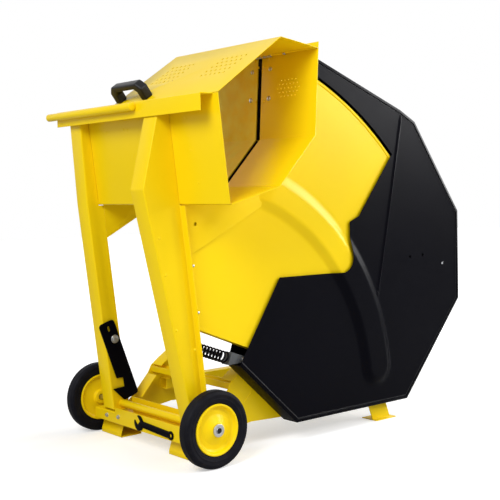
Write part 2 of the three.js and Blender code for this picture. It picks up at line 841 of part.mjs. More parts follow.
// Blade with its flanges, nut and shaft
const bladeThickness = 3;
const bladeNear = bladePlane - bladeThickness / 2;
const bladeFar = bladePlane + bladeThickness / 2;
const bladeTeeth = 42;
const toothDepth = 13;
const toothLeanShare = 0.35;
const bladeBore = circle(bladeCentre, motorShaftRadius + seatGap, shaftSides);
function toothedRim() {
  const points = [];
  const pitch = 360 / bladeTeeth;
  for (let tooth = 0; tooth < bladeTeeth; tooth += 1) {
    const start = tooth * pitch;
    points.push(polar(bladeRadius, start, bladeCentre));
    points.push(polar(bladeRadius - toothDepth, start + pitch * toothLeanShare, bladeCentre));
  }
  return points;
}
add('saw_blade', slab(toothedRim(), bladeNear, bladeFar, [bladeBore]), 'steel');
const flangeRadius = 55;
const nearFlangeThickness = 6;
const flangeRim = circle(bladeCentre, flangeRadius, motorSteps);
const nearFlangeFar = bladeNear - seatGap;
const nearFlangeNear = nearFlangeFar - nearFlangeThickness;
add('blade_flange_outer', slab(flangeRim, nearFlangeNear, nearFlangeFar, [bladeBore]), 'steel');
const farFlangeThickness = 18;
const farFlangeNear = bladeFar + seatGap;
const farFlangeFar = farFlangeNear + farFlangeThickness;
add('blade_flange_inner', slab(flangeRim, farFlangeNear, farFlangeFar, [bladeBore]), 'steel');
const nutRadius = 24;
const nutLength = 12;
const nutFar = nearFlangeNear - seatGap;
const nutNear = nutFar - nutLength;
const nutSides = 6;
add('blade_nut', slab(circle(bladeCentre, nutRadius, nutSides), nutNear, nutFar, [bladeBore]), 'zinc');
add('motor_shaft', bar(bladeCentre, motorShaftRadius, nutNear, shaftEnd, shaftSides), 'steel');

// Cradle: trough wall and beds
const bedShares = [
  [-0.0528, 0.5712],
  [0.0984, 0.6112],
  [0.2192, 0.7368],
  [0.2344, 0.9704],
];
const wallShares = [
  [-0.0552, 0.5712],
  [-0.0856, 0.8296],
];
const bedLine = fromAxle(bedShares);
const wallLine = fromAxle(wallShares);
const slotHalf = 10.5;
const slotNear = bladePlane - slotHalf;
const slotFar = bladePlane + slotHalf;
add('trough_bed_near', bentSheet(bedLine, -sheet, troughNear, slotNear), 'yellow');
add('trough_bed_far', bentSheet(bedLine, -sheet, slotFar, troughFar), 'yellow');
add('trough_front_wall', bentSheet(wallLine, sheet, troughNear, troughFar), 'yellow');

const headHeight = 48;
const headMargin = 21;
const backWall = bedLine.slice(2);
const headLow = backWall[1][1] - headHeight;
const headStart = [acrossAt(backWall, headLow), headLow];
const headLine = offsetLine([headStart, backWall[1]], -sheet - seatGap);
const headSpan = [bladePlane - headMargin, bladePlane + headMargin];
add('slot_head_plate', bentSheet(headLine, -sheet, ...headSpan), 'yellow');

const hoodRidgeShares = [[0.1104, 0.9712]];
const hoodDrop = 20;
const hoodSlant = 30;
const hoodEndHeight = backWall[1][1] - hoodDrop;
const hoodWallGap = 0.6;
const wallTop = wallLine[1];
const hoodLine = [
  [wallTop[0], wallTop[1] + seatGap + seatGap],
  fromAxle(hoodRidgeShares)[0],
  [acrossAt(backWall, hoodEndHeight) - hoodWallGap, hoodEndHeight],
];
// The hood's far edge slants in towards its ridge.
const hoodTrim = planPlate([
  [hoodLine[0][0], hoodFar],
  [hoodLine[1][0], hoodFar - hoodSlant],
  [hoodLine[2][0] + cutOverrun, hoodFar - hoodSlant],
  [hoodLine[2][0] + cutOverrun, hoodFar + cutOverrun],
  [hoodLine[0][0], hoodFar + cutOverrun],
], hoodLine[0][1], hoodLine[1][1] + thinSheet + cutOverrun);
add('hood', cut(bentSheet(hoodLine, thinSheet, troughNear, hoodFar), hoodTrim), 'yellow');

// Rim channel along the wall's top, with the handle bar and the second grip
const channelFront = -157;
const channelDrop = 52;
const channelTop = wallTop[1];
const channelBack = wallTop[0] - sheet - seatGap - seatGap;
add('rim_channel', slab([
  [channelFront, channelTop - channelDrop],
  [channelFront + sheet, channelTop - channelDrop],
  [channelFront + sheet, channelTop - sheet],
  [channelBack, channelTop - sheet],
  [channelBack, channelTop],
  [channelFront, channelTop],
], channelNear, channelFar), 'yellow');
const handleRadius = 13;
const handleDrop = 17;
const handleSpan = [185, 724];
const handleCentre = [channelFront - handleRadius - seatGap, channelTop - handleDrop];
add('handle_bar', bar(handleCentre, handleRadius, ...handleSpan, shaftSides), 'yellow');

const gripSpan = [206, 386];
const gripHeight = 61;
const gripPost = 30;
const gripBar = 20;
const gripDepth = 31;
const gripChamfer = 20;
const gripInnerChamfer = 12;
const gripUpPanel = 10;
const hoodStart = new THREE.Vector2(...hoodLine[0]);
const hoodRidge = new THREE.Vector2(...hoodLine[1]);
const panelSlope = hoodRidge.clone().sub(hoodStart).normalize();
const panelNormal = new THREE.Vector2(-panelSlope.y, panelSlope.x);
const gripBase = thinSheet + seatGap;
const gripOutline = [
  [gripSpan[0], gripBase],
  [gripSpan[0] + gripPost, gripBase],
  [gripSpan[0] + gripPost, gripBase + gripHeight - gripBar - gripInnerChamfer],
  [gripSpan[0] + gripPost + gripInnerChamfer, gripBase + gripHeight - gripBar],
  [gripSpan[1] - gripPost - gripInnerChamfer, gripBase + gripHeight - gripBar],
  [gripSpan[1] - gripPost, gripBase + gripHeight - gripBar - gripInnerChamfer],
  [gripSpan[1] - gripPost, gripBase],
  [gripSpan[1], gripBase],
  [gripSpan[1], gripBase + gripHeight - gripChamfer],
  [gripSpan[1] - gripChamfer, gripBase + gripHeight],
  [gripSpan[0] + gripChamfer, gripBase + gripHeight],
  [gripSpan[0], gripBase + gripHeight - gripChamfer],
];
const gripBlank = { depth: gripDepth, bevelEnabled: false };
const gripGeometry = new THREE.ExtrudeGeometry(outlineShape(gripOutline), gripBlank);
gripGeometry.applyMatrix4(new THREE.Matrix4().makeBasis(
  new THREE.Vector3(0, 1, 0),
  new THREE.Vector3(panelNormal.x, 0, panelNormal.y),
  new THREE.Vector3(panelSlope.x, 0, panelSlope.y),
));
gripGeometry.translate(
  hoodStart.x + panelSlope.x * gripUpPanel,
  0,
  hoodStart.y + panelSlope.y * gripUpPanel,
);
add('side_grip', gripGeometry, 'black');

// Near leg: front flange, side web and a return flange at its rear edge
const nearLegShares = [
  [-0.1112, 0.8264],
  [-0.1656, 0.608],
  [-0.0248, -0.0168],
];
const nearLegRearShares = [
  [0.0056, 0.036],
  [-0.0264, 0.3288],
  [-0.0544, 0.5672],
];
const nearLegLine = fromAxle(nearLegShares);
const nearLegRear = fromAxle(nearLegRearShares);
const legWallGap = 0.6;
const wallOuter = offsetLine(wallLine, sheet + legWallGap);
const nearLegTop = nearLegLine[0][1];
const returnReach = 25;
const lugRadius = 26;
const lugSteps = 6;
const axleBore = circle(axle, shaftRadius + runningGap, shaftSides);
const nearLegWeb = slab([
  ...nearLegLine,
  ...arc(lugRadius, 180, 90, lugSteps),
  ...nearLegRear,
  wallOuter[0],
  [acrossAt(wallOuter, nearLegTop), nearLegTop],
], nearLegFace, nearLegFace + sheet, [axleBore]);
const nearLegFlange = bentSheet(nearLegLine, sheet, nearLegFace, nearLegFace + nearLegDepth);
const nearLegReturn = bentSheet(nearLegRear, sheet, nearLegFace - returnReach, nearLegFace + sheet);
add('leg_near', joined(nearLegWeb, nearLegFlange, nearLegReturn), 'yellow');

const tubeRadius = 13.5;
const tubeNear = nearLegFace + sheet + seatGap;
const tubeFar = farLegFace - seatGap;
add('pivot_tube', slab(circle(axle, tubeRadius, shaftSides), tubeNear, tubeFar, [axleBore]), 'yellow');

// Far leg: front flange and two side flanges
const farLegShares = [
  [-0.1132, 0.8264],
  [-0.0952, 0.572],
  [-0.0272, -0.016],
];
const farLegLine = fromAxle(farLegShares);
const farLegRearShares = [[-0.0432, 0.5672]];
const farLegRear = fromAxle(farLegRearShares)[0];
const farLegSide = [
  ...farLegLine,
  ...arc(lugRadius, 180, 90, lugSteps),
  farLegRear,
  [wallOuter[0][0], farLegRear[1]],
  wallOuter[0],
  [acrossAt(wallOuter, nearLegTop), nearLegTop],
];
const farLegEnd = farLegFace + farLegWidth;
add('leg_far', joined(
  bentSheet(farLegLine, sheet, farLegFace, farLegEnd),
  slab(farLegSide, farLegFace, farLegFace + sheet, [axleBore]),
  slab(farLegSide, farLegEnd - sheet, farLegEnd, [axleBore]),
), 'yellow');

// The wedge on the near leg that the spring pushes on
const seatHalf = 17;
const seatNear = bladePlane - seatHalf;
const legInner = offsetLine(nearLegLine, sheet + seatGap);
const seatTop = springPlace(0, seatHalf);
const seatLow = springPlace(0, -seatHalf);
add('spring_seat', slab([
  seatLow,
  seatTop,
  [acrossAt(legInner, seatTop[1]), seatTop[1]],
  [acrossAt(legInner, seatLow[1]), seatLow[1]],
], seatNear, bladePlane + seatHalf), 'yellow');

// Gussets under the trough
const bedUnder = offsetLine(bedLine, -sheet - seatGap);
const gussetShares = [
  [0.2064, 0.5576],
  [0.2368, 0.66],
  [0.2416, 0.7368],
];
const gussetLowHeight = 672;
const nearGussetFace = nearLegFace - sheet;
const rearOfNearLeg = nearLegRear.map(([x, z]) => [x + legWallGap, z]);
const gussetLift = 2;
add('gusset_near', slab([
  [acrossAt(rearOfNearLeg, gussetLowHeight), gussetLowHeight],
  ...fromAxle(gussetShares),
  bedUnder[2],
  bedUnder[1],
  bedUnder[0],
  [rearOfNearLeg[2][0], rearOfNearLeg[2][1] - gussetLift],
], nearGussetFace, nearGussetFace + thinSheet), 'yellow');

const farGussetShares = [
  [0.192, 0.5976],
  [0.2264, 0.7],
];
const farGussetLow = 720;
const farLegBack = [polar(lugRadius, 90), farLegRear].map(([x, z]) => [x + legWallGap, z]);
add('gusset_far', slab([
  [acrossAt(farLegBack, farGussetLow), farGussetLow],
  ...fromAxle(farGussetShares),
  bedUnder[2],
  bedUnder[1],
  [farLegBack[1][0], bedUnder[0][1]],
], farLegFace, farLegFace + sheet), 'yellow');

// Fans: two plates that keep the blade covered as the cradle swings
const fanShares = [
  [-0.048, 0.2664],
  [0.1536, 0.1848],
  [0.184, 0.172],
  [0.304, 0.336],
  [0.56, 0.336],
];
const fanOverhang = 0.5;
const fanRadius = sweepRadius + fanOverhang;
const fanStart = 50;
const fanFinish = 14.3;
const fanTopDrop = 8;
const fanTopHeight = bedLine[3][1] - fanTopDrop;
const fanTop = [acrossAt(bedUnder.slice(2), fanTopHeight), fanTopHeight];
const fanOutline = [
  ...fromAxle(fanShares),
  ...arc(fanRadius, fanStart, fanFinish, arcSteps),
  fanTop,
  bedUnder[2],
  bedUnder[1],
  bedUnder[0],
];
const fanTrackHalf = 67.5;
const fanTrackStart = 21;
const fanTrackEnd = 49.9;
const fanNearBack = fanNearFace + thinSheet;
const fanTrackFace = fanNearFace - trackRise;
const fanTrackOuter = slab(
  track(hubTrack - fanTrackHalf, hubTrack + fanTrackHalf, fanTrackStart, fanTrackEnd, trackSteps),
  fanTrackFace,
  fanNearBack,
);
const wallDegrees = THREE.MathUtils.radToDeg(thinSheet / hubTrack);
const fanTrackInner = slab(
  track(
    hubTrack - fanTrackHalf + thinSheet,
    hubTrack + fanTrackHalf - thinSheet,
    fanTrackStart + wallDegrees,
    fanTrackEnd,
    trackSteps,
  ),
  fanTrackFace + thinSheet,
  fanNearBack + cutOverrun,
);
const fanBlank = joined(slab(fanOutline, fanNearFace, fanNearBack), fanTrackOuter);
add('fan_near', cut(fanBlank, fanTrackInner), 'yellow');

const shaftSlotHalf = 26;
const shaftSlotStart = 21.5;
const shaftSlotEnd = 52.5;
const shaftSlotRadii = [hubTrack - shaftSlotHalf, hubTrack + shaftSlotHalf];
const shaftSlot = track(...shaftSlotRadii, shaftSlotStart, shaftSlotEnd, trackSteps);
add('fan_far', slab(fanOutline, fanFarFace, fanFarFace + thinSheet, [shaftSlot]), 'yellow');

// Transport latch on the far leg
const latchFace = 557;
const latchThickness = 4;
const latchShares = [
  [-0.0728, 0.2264],
  [-0.0296, 0.2424],
  [0.0536, 0.0256],
  [0.0112, 0.0104],
  [-0.0296, 0.044],
  [0.0096, 0.048],
  [0.0056, 0.0752],
  [-0.0144, 0.0736],
];
const latchBoltShares = [[-0.0216, 0.1872]];
const latchBoltCentre = fromAxle(latchBoltShares)[0];
const latchBoltRadius = 5;
const latchHole = circle(latchBoltCentre, latchBoltRadius + seatGap, boltSides);
const latchFar = latchFace + latchThickness;
const latchPinShares = [[-0.0432, 0.2208]];
const latchPinRadius = 6;
const latchPinHole = circle(fromAxle(latchPinShares)[0], latchPinRadius, boltSides);
const latchOutline = fromAxle(latchShares);
add('latch_hook', slab(latchOutline, latchFace, latchFar, [latchHole, latchPinHole]), 'black');
const latchHead = 9;
const latchHeadThickness = 5;
add('latch_bolt', joined(
  bar(latchBoltCentre, latchBoltRadius, latchFace - latchHeadThickness, farLegFace - seatGap, boltSides),
  bar(latchBoltCentre, latchHead, latchFace - seatGap - latchHeadThickness, latchFace - seatGap, nutSides),
  bar(latchBoltCentre, latchHead, latchFar + seatGap, farLegFace - seatGap, boltSides),
), 'zinc');

// The origin goes under the middle of the machine
const frontmost = nearLegLine[1][0];
const rearmost = guardLine[3][0];
const farmost = shaftFar;
const middle = new THREE.Vector3((frontmost + rearmost) / 2, (troughNear + farmost) / 2, 0);
machine.position.set(-middle.x, -middle.y, 0);

export default machine;
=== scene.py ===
"""Firewood saw with a rocking cradle: the finished surfaces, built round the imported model."""

import json
import math

import bmesh
import bpy
import numpy as np
from mathutils import Matrix, Vector
from mathutils.geometry import delaunay_2d_cdt


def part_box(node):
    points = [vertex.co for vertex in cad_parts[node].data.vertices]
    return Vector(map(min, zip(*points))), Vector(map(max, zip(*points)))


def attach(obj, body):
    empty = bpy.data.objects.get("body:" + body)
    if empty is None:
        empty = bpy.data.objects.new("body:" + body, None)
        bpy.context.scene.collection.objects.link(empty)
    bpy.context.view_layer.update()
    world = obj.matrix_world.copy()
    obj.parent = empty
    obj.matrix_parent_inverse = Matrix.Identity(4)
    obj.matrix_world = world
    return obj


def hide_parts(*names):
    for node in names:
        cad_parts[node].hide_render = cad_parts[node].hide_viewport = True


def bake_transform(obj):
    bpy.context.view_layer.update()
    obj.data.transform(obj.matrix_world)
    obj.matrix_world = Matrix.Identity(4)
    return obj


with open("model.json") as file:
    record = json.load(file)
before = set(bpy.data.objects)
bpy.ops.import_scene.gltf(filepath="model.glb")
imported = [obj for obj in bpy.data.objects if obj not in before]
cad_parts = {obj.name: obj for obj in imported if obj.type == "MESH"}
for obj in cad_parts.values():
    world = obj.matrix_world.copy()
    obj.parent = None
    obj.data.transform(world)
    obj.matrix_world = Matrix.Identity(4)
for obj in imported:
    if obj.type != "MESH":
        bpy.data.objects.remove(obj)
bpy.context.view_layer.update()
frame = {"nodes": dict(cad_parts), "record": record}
slot_of = {row["node"]: row["material_slot"] for row in frame["record"]["subparts"]}
body_of = {node: body for body, nodes in frame["record"]["behaviour"]["bodies"].items() for node in nodes}

# Places are in millimetres from the wheel axle: x = 0 is the axle, y = 0 the near wheel's outer face,
# z = 0 the ground. place() turns them into the frame's metres.
MM = 0.001
ALONG = np.array([0.0, 1.0, 0.0])
ACROSS = np.array([1.0, 0.0, 0.0])
UP = np.array([0.0, 0.0, 1.0])
TUBE_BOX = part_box("pivot_tube")
ORIGIN = np.array([(TUBE_BOX[0][0] + TUBE_BOX[1][0]) / 2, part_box("tyre_near")[0][1], 0.0])
AXLE_HEIGHT = 125.0
AXLE = AXLE_HEIGHT * UP
BLADE_CENTRE = np.array([637.0, 0.0, 622.0])


def place(points):
    """Metres in the frame: the origin plus each point in millimetres times 0.001."""
    return np.asarray(points, float) * MM + ORIGIN


def spot(point):
    return tuple(float(value) for value in place(point))


def box_of(node):
    """A node's lowest and highest corners at rest, in millimetres."""
    return [(np.array(corner) - ORIGIN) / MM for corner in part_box(node)]


def span_of(node):
    """How far a node reaches along the axle: its nearest and its furthest y."""
    low, high = box_of(node)
    return low[1], high[1]


# Materials

class Signal:
    """A socket of a node tree; arithmetic on it adds Math nodes."""

    def __init__(self, tree, socket):
        self.tree = tree
        self.socket = socket

    def maths(self, operation, first, second):
        return self.tree.node("ShaderNodeMath", {"operation": operation}, {0: first, 1: second})

    def __add__(self, other):
        return self.maths("ADD", self, other)

    __radd__ = __add__

    def __sub__(self, other):
        return self.maths("SUBTRACT", self, other)

    def __rsub__(self, other):
        return self.maths("SUBTRACT", other, self)

    def __mul__(self, other):
        return self.maths("MULTIPLY", self, other)

    __rmul__ = __mul__


class Tree:
    """The nodes of a material or a world, all added by one method."""

    def __init__(self, nodes_and_links):
        self.nodes = nodes_and_links.nodes
        self.links = nodes_and_links.links

    def node(self, kind, settings=None, values=None, output=0):
        """One node: its settings first, then the values or links of its sockets."""
        made = self.nodes.new(kind)
        for setting, value in (settings or {}).items():
            setattr(made, setting, value)
        for socket, value in (values or {}).items():
            if isinstance(value, Signal):
                self.links.new(value.socket, made.inputs[socket])
            else:
                made.inputs[socket].default_value = value
        return Signal(self, made.outputs[output]) if made.outputs else None


class Finish(Tree):
    """A material whose shader is one Principled surface, with its fixed values set on its own sockets."""

    def __init__(self, name, **fixed):
        self.material = bpy.data.materials.new(name)
        self.material.use_nodes = True
        super().__init__(self.material.node_tree)
        self.surface = self.nodes["Principled BSDF"]
        for socket, value in fixed.items():
            self.surface.inputs[socket.replace("_", " ")].default_value = value

    def drive(self, socket, signal):
        self.links.new(signal.socket, self.surface.inputs[socket])

    def position(self):
        return self.node("ShaderNodeTexCoord", output="Object")

    def noise(self, scale, detail=2.0):
        return self.node("ShaderNodeTexNoise", None,
                         {"Vector": self.position(), "Scale": scale, "Detail": detail})

    def cells(self, scale):
        return self.node("ShaderNodeTexVoronoi", None, {"Vector": self.position(), "Scale": scale})

    def length(self, vector):
        return self.node("ShaderNodeVectorMath", {"operation": "LENGTH"}, {0: vector}, output="Value")

    def levels(self, signal, low, high, to_low=0.0, to_high=1.0):
        return self.node("ShaderNodeMapRange", {"clamp": True},
                         {0: signal, 1: low, 2: high, 3: to_low, 4: to_high})

    def mix(self, factor, first, second):
        return self.node("ShaderNodeMix", {"data_type": "RGBA"}, {0: factor, 6: first, 7: second}, output=2)

    def coat(self, base, roughness, height, strength, distance):
        """Links the base colour, the roughness and the bump, and gives back the material."""
        self.drive("Base Color", base)
        self.drive("Roughness", roughness)
        values = {"Height": height, "Strength": strength, "Distance": distance}
        self.drive("Normal", self.node("ShaderNodeBump", None, values))
        return self.material


def colour(red, green, blue):
    return (red, green, blue, 1.0)


def painted(name, main, deep, roughness, peel, specular):
    """Powder coat: two close tones in slow clouds, an orange-peel surface and a roughness that drifts."""
    finish = Finish(name, Specular_IOR_Level=specular)
    clouds = finish.levels(finish.noise(2.6, 3.0), 0.35, 0.7)
    drift = finish.noise(14.0, 4.0) * 0.1 + (roughness - 0.05)
    orange_peel = finish.noise(520.0, 1.0) + finish.noise(1600.0, 1.0) * 0.35
    return finish.coat(finish.mix(clouds, main, deep), drift, orange_peel, peel, 0.0004)


def pale_patched(main, deep, pale_tone, corner, normals):
    """The paint, paler and rougher in noisy patches on the faces that lie before both sheet planes through
    the corner: the mask is the product of two ramps on the distance to each plane."""
    finish = Finish("yellow_pale_patches", Specular_IOR_Level=0.12)
    before = finish.node("ShaderNodeVectorMath", {"operation": "SUBTRACT"},
                         {0: finish.position(), 1: corner})
    mask = finish.levels(finish.noise(16.0, 6.0), 0.36, 0.62, 0.25, 0.9)
    for normal in normals:
        depth = finish.node("ShaderNodeVectorMath", {"operation": "DOT_PRODUCT"}, {0: before, 1: normal},
                            output="Value")
        mask = mask * finish.levels(depth, -0.0014, -0.0006)
    clouds = finish.levels(finish.noise(2.6, 3.0), 0.35, 0.7)
    base = finish.mix(mask, finish.mix(clouds, main, deep), pale_tone)
    return finish.coat(base, mask * 0.25 + 0.3, finish.noise(220.0, 5.0), 0.1, 0.0004)


def rubber_finish():
    """Solid rubber: almost black, a little dust in the hollows and a fine matt grain."""
    finish = Finish("rubber", Specular_IOR_Level=0.09)
    dust = finish.levels(finish.noise(38.0, 6.0), 0.45, 0.8, 0.0, 0.6)
    base = finish.mix(dust, colour(0.004, 0.004, 0.0068), colour(0.012, 0.0122, 0.0165))
    return finish.coat(base, finish.noise(60.0, 3.0) * 0.16 + 0.5, finish.noise(900.0, 3.0), 0.16, 0.0003)


def zinc_finish():
    """Bright zinc plating with faint cloudy spangle."""
    finish = Finish("zinc", Metallic=1.0)
    spangle = finish.cells(420.0)
    base = finish.mix(spangle, colour(0.62, 0.63, 0.65), colour(0.48, 0.49, 0.5))
    return finish.coat(base, spangle * 0.14 + 0.26, finish.noise(1400.0), 0.08, 0.0002)


def ground_steel(centre):
    """Ground steel: fine rings about the blade's centre, worked out from the distance to its axis, because
    the axis itself is scaled down to a thousandth."""
    finish = Finish("steel", Metallic=1.0)
    flat = finish.node("ShaderNodeMapping", {"vector_type": "TEXTURE"},
                       {"Vector": finish.position(), "Location": centre, "Scale": (1.0, 1000.0, 1.0)})
    rings = finish.node("ShaderNodeTexNoise", {"noise_dimensions": "1D"},
                        {"W": finish.length(flat), "Scale": 900.0, "Detail": 3.0})
    base = finish.mix(finish.noise(9.0, 3.0), colour(0.5, 0.51, 0.53), colour(0.38, 0.385, 0.4))
    return finish.coat(base, rings * 0.2 + 0.22, rings, 0.25, 0.00015)


def moulded(name, main, worn, grain, specular=0.4):
    """Moulded plastic: a fine pebbled grain, and two tones in clouds."""
    finish = Finish(name, Specular_IOR_Level=specular)
    base = finish.mix(finish.noise(22.0, 4.0), main, worn)
    return finish.coat(base, finish.noise(80.0) * 0.12 + 0.3, finish.cells(grain), 0.12, 0.0002)


FLOOR_LIFT = 0.4
FLOOR_BOUNCE = 0.62


def floor_finish():
    """A pale matt floor that lifts towards white where the camera sees it, and gives back less light."""
    finish = Finish("floor", Roughness=0.95, Specular_IOR_Level=0.1, Emission_Strength=1.0)
    rays = finish.node("ShaderNodeLightPath", output="Is Camera Ray")
    pale = finish.mix(finish.noise(0.8), colour(0.8, 0.8, 0.8), colour(0.82, 0.82, 0.82))
    bounce = colour(FLOOR_BOUNCE, FLOOR_BOUNCE, FLOOR_BOUNCE)
    finish.drive("Base Color", finish.mix(rays, bounce, pale))
    lift = finish.levels(finish.length(finish.position()), 0.9, 3.2, FLOOR_LIFT, 1.0)
    finish.drive("Emission Color", finish.mix(rays * lift, colour(0, 0, 0), colour(1, 1, 1)))
    return finish.material


YELLOW = colour(0.93, 0.665, 0.0045)
YELLOW_DEEP = colour(0.905, 0.635, 0.004)
# A paler yellow for noisy patches on the far bed's inner faces.
YELLOW_PALE_PATCH = colour(0.93, 0.82, 0.16)
BLACK = colour(0.0014, 0.0014, 0.0036)
BLACK_DEEP = colour(0.0011, 0.0011, 0.0028)
GREY = colour(0.07, 0.075, 0.08)
GREY_DEEP = colour(0.058, 0.062, 0.068)
MOULDINGS = {
    "black_plastic": (colour(0.0045, 0.0046, 0.0056), colour(0.008, 0.0081, 0.0095), 1500.0, 0.25),
    "green_plastic": (colour(0.02, 0.3, 0.06), colour(0.017, 0.26, 0.052), 2400.0),
    "red_plastic": (colour(0.55, 0.01, 0.015), colour(0.48, 0.009, 0.013), 2400.0),
}
finishes = {
    "yellow_paint": painted("yellow_paint", YELLOW, YELLOW_DEEP, roughness=0.3, peel=0.08, specular=0.12),
    "black_paint": painted("black_paint", BLACK, BLACK_DEEP, roughness=0.33, peel=0.1, specular=0.045),
    "grey_paint": painted("grey_paint", GREY, GREY_DEEP, roughness=0.45, peel=0.2, specular=0.4),
    "tyre": rubber_finish(),
    "zinc": zinc_finish(),
    "steel": ground_steel(spot(BLADE_CENTRE + 108.0 * ALONG)),
}
finishes.update({name: moulded(name, *look) for name, look in MOULDINGS.items()})


# Surfaces: each is (points in millimetres, faces)

def lattice(rows, columns, round_rows=False):
    """Quads of a grid of points whose columns join round, and whose rows do where asked."""
    row, column = np.mgrid[:rows if round_rows else rows - 1, :columns]
    below, beside = (row + 1) % rows * columns, (column + 1) % columns
    row = row * columns
    return np.stack([row + column, below + column, below + beside, row + beside], -1).reshape(-1, 4).tolist()


def gathered(*surfaces):
    """Several surfaces as one: points end to end, faces shifted by the points before them."""
    points, faces, count = [], [], 0
    for surface_points, surface_faces in surfaces:
        points.append(np.asarray(surface_points, float))
        faces += [[corner + count for corner in face] for face in surface_faces]
        count += len(surface_points)
    return np.concatenate(points), faces


def unit(vector):
    vector = np.asarray(vector, float)
    return vector / np.linalg.norm(vector, axis=-1, keepdims=True)


def rounded(points, radius, steps=4):
    """A closed outline with arcs for corners: tangent points at radius / tan(half angle) from each corner,
    and between them a circle about the point on the bisector, worked out for all corners at once."""
    points = np.asarray(points, float)
    back = np.roll(points, 1, axis=0) - points
    ahead = np.roll(points, -1, axis=0) - points
    room = 0.48 * np.minimum(np.linalg.norm(back, axis=1), np.linalg.norm(ahead, axis=1))
    back, ahead = unit(back), unit(ahead)
    half = np.arccos(np.clip((back * ahead).sum(1), -0.99999, 0.99999)) / 2
    reach = np.minimum(np.broadcast_to(radius, half.shape) / np.tan(half), room)
    true_radius = reach * np.tan(half)
    centre = points + unit(back + ahead) * (true_radius / np.sin(half))[:, None]
    first = points + back * reach[:, None] - centre
    last = points + ahead * reach[:, None] - centre
    span = (math.pi - 2 * half)[:, None, None]
    share = np.linspace(0, 1, steps + 1)[None, :, None]
    arc = np.sin((1 - share) * span) * first[:, None] + np.sin(share * span) * last[:, None]
    return (centre[:, None] + arc / np.sin(span)).reshape(-1, 2)


def turned(profile, centre, axis, steps, flats=None):
    """A profile of (radius, along) carried round an axis: centre + along * axis + radius * (cos a, sin a).
    With flats, the radius stays in a hexagon that wide: flats / 2 / cos(angle from the nearest flat)."""
    profile = np.asarray(profile, float)
    axis = unit(axis)
    side = unit(np.cross(axis, UP if abs(axis[2]) < 0.9 else ACROSS))
    other = np.cross(axis, side)
    angle = np.linspace(0, 2 * math.pi, steps, endpoint=False)
    radius = np.repeat(profile[:, :1], steps, axis=1)
    if flats:
        hexagon = flats / 2 / np.cos((angle + math.pi / 6) % (math.pi / 3) - math.pi / 6)
        radius = np.minimum(radius, hexagon)
    points = np.asarray(centre, float) + profile[:, 1:, None] * axis
    points = points + radius[..., None] * (np.cos(angle)[:, None] * side + np.sin(angle)[:, None] * other)
    on_axis = profile[0, 0] == 0 and profile[-1, 0] == 0
    return points.reshape(-1, 3), lattice(len(profile), steps, not on_axis)


def swept(path, radius, reference, sides=12):
    """A round section carried along a path: each ring is the path point + radius * (cos a n + sin a b),
    where n is the reference made square to the path and b is the tangent x n. Both ends close to a point."""
    path = np.asarray(path, float)
    tangent = unit(np.gradient(path, axis=0))
    reference = np.broadcast_to(reference, path.shape)
    normal = unit(reference - (reference * tangent).sum(1, keepdims=True) * tangent)
    other = np.cross(tangent, normal)
    angle = np.linspace(0, 2 * math.pi, sides, endpoint=False)[None, :, None]
    size = np.broadcast_to(radius, (len(path),))[:, None, None]
    rings = path[:, None] + size * (np.cos(angle) * normal[:, None] + np.sin(angle) * other[:, None])
    ends = [np.repeat(path[:1, None], sides, axis=1), np.repeat(path[-1:, None], sides, axis=1)]
    rings = np.concatenate([ends[0], rings, ends[1]])
    return rings.reshape(-1, 3), lattice(len(rings), sides)


def bar(low, high, normal, front, back, near, far):
    """A bar behind a plane from low to high: low or high - depth * normal + y * along, between the depths
    front and back and between near and far along the axle."""
    section = [low - front * normal, high - front * normal, high - back * normal, low - back * normal]
    faces = [[0, 1, 2, 3], [4, 7, 6, 5], [0, 4, 5, 1], [1, 5, 6, 2], [2, 6, 7, 3], [3, 7, 4, 0]]
    return np.array([corner + y * ALONG for y in (near, far) for corner in section]), faces


def standing(flat, y):
    """Points of the side view, at one place or at their own places along the axle."""
    return np.stack([flat[:, 0], np.full(len(flat), y), flat[:, 1]], 1)


# Pressed sheets

TRACK_RADIUS = 808.0
TRACK_RISE = 16.5
TRACK_SLOPE = 30.0
TRACK_RUN_IN = 5.0
TRACK_MARGIN = 12.0
TRACK_STEP = 3.6
TRACK_DEGREES = 0.9
EASE = 0.2
SHEET_STEP = 9.0
EDGE_CLEARANCE = 2.0
SAME_POINT = 1e-4
NEARLY_ZERO = 1e-9


def polar(radius, degrees):
    """A point of the side view: radius about the axle, degrees measured from straight up towards +x."""
    angle = np.radians(degrees)
    return np.stack([radius * np.sin(angle), AXLE_HEIGHT + radius * np.cos(angle)], -1)


def ramp(share):
    """From 0 to 1 along a straight slope with rounded ends: (G(t + ease) - G(t - ease)) / (2 ease), where
    G(t) is the area under t held between 0 and 1."""
    def area(value):
        held = np.clip(value, 0, 1)
        return held * held / 2 + np.maximum(value - 1, 0)

    return (area(share + EASE) - area(share - EASE)) / (2 * EASE)


def track_height(x, z, first, last, half):
    """A raised track about the axle: rise * ramp((half width - d) / slope), where d is the distance from its
    middle arc. It runs in over five degrees from its first, if one is given; its last end is round."""
    radius = np.hypot(x, z - AXLE_HEIGHT)
    degrees = np.degrees(np.arctan2(x, z - AXLE_HEIGHT))
    beyond = np.radians(np.maximum(degrees - last, 0)) * TRACK_RADIUS
    distance = np.hypot(radius - TRACK_RADIUS, beyond)
    run_in = ramp((degrees - first) / TRACK_RUN_IN) if first is not None else 1.0
    return TRACK_RISE * ramp((half - distance) / TRACK_SLOPE) * run_in


def track_grid(first, last, half):
    """Points of a polar grid that covers a raised track and a flat margin round it."""
    margin = half + TRACK_SLOPE * EASE + TRACK_MARGIN
    radius = TRACK_RADIUS + np.arange(-margin, margin + 1, TRACK_STEP)
    degrees = np.arange(first, last + np.degrees(margin / TRACK_RADIUS), TRACK_DEGREES)
    radius, degrees = np.meshgrid(radius, degrees, indexing="ij")
    return polar(radius.ravel(), degrees.ravel())


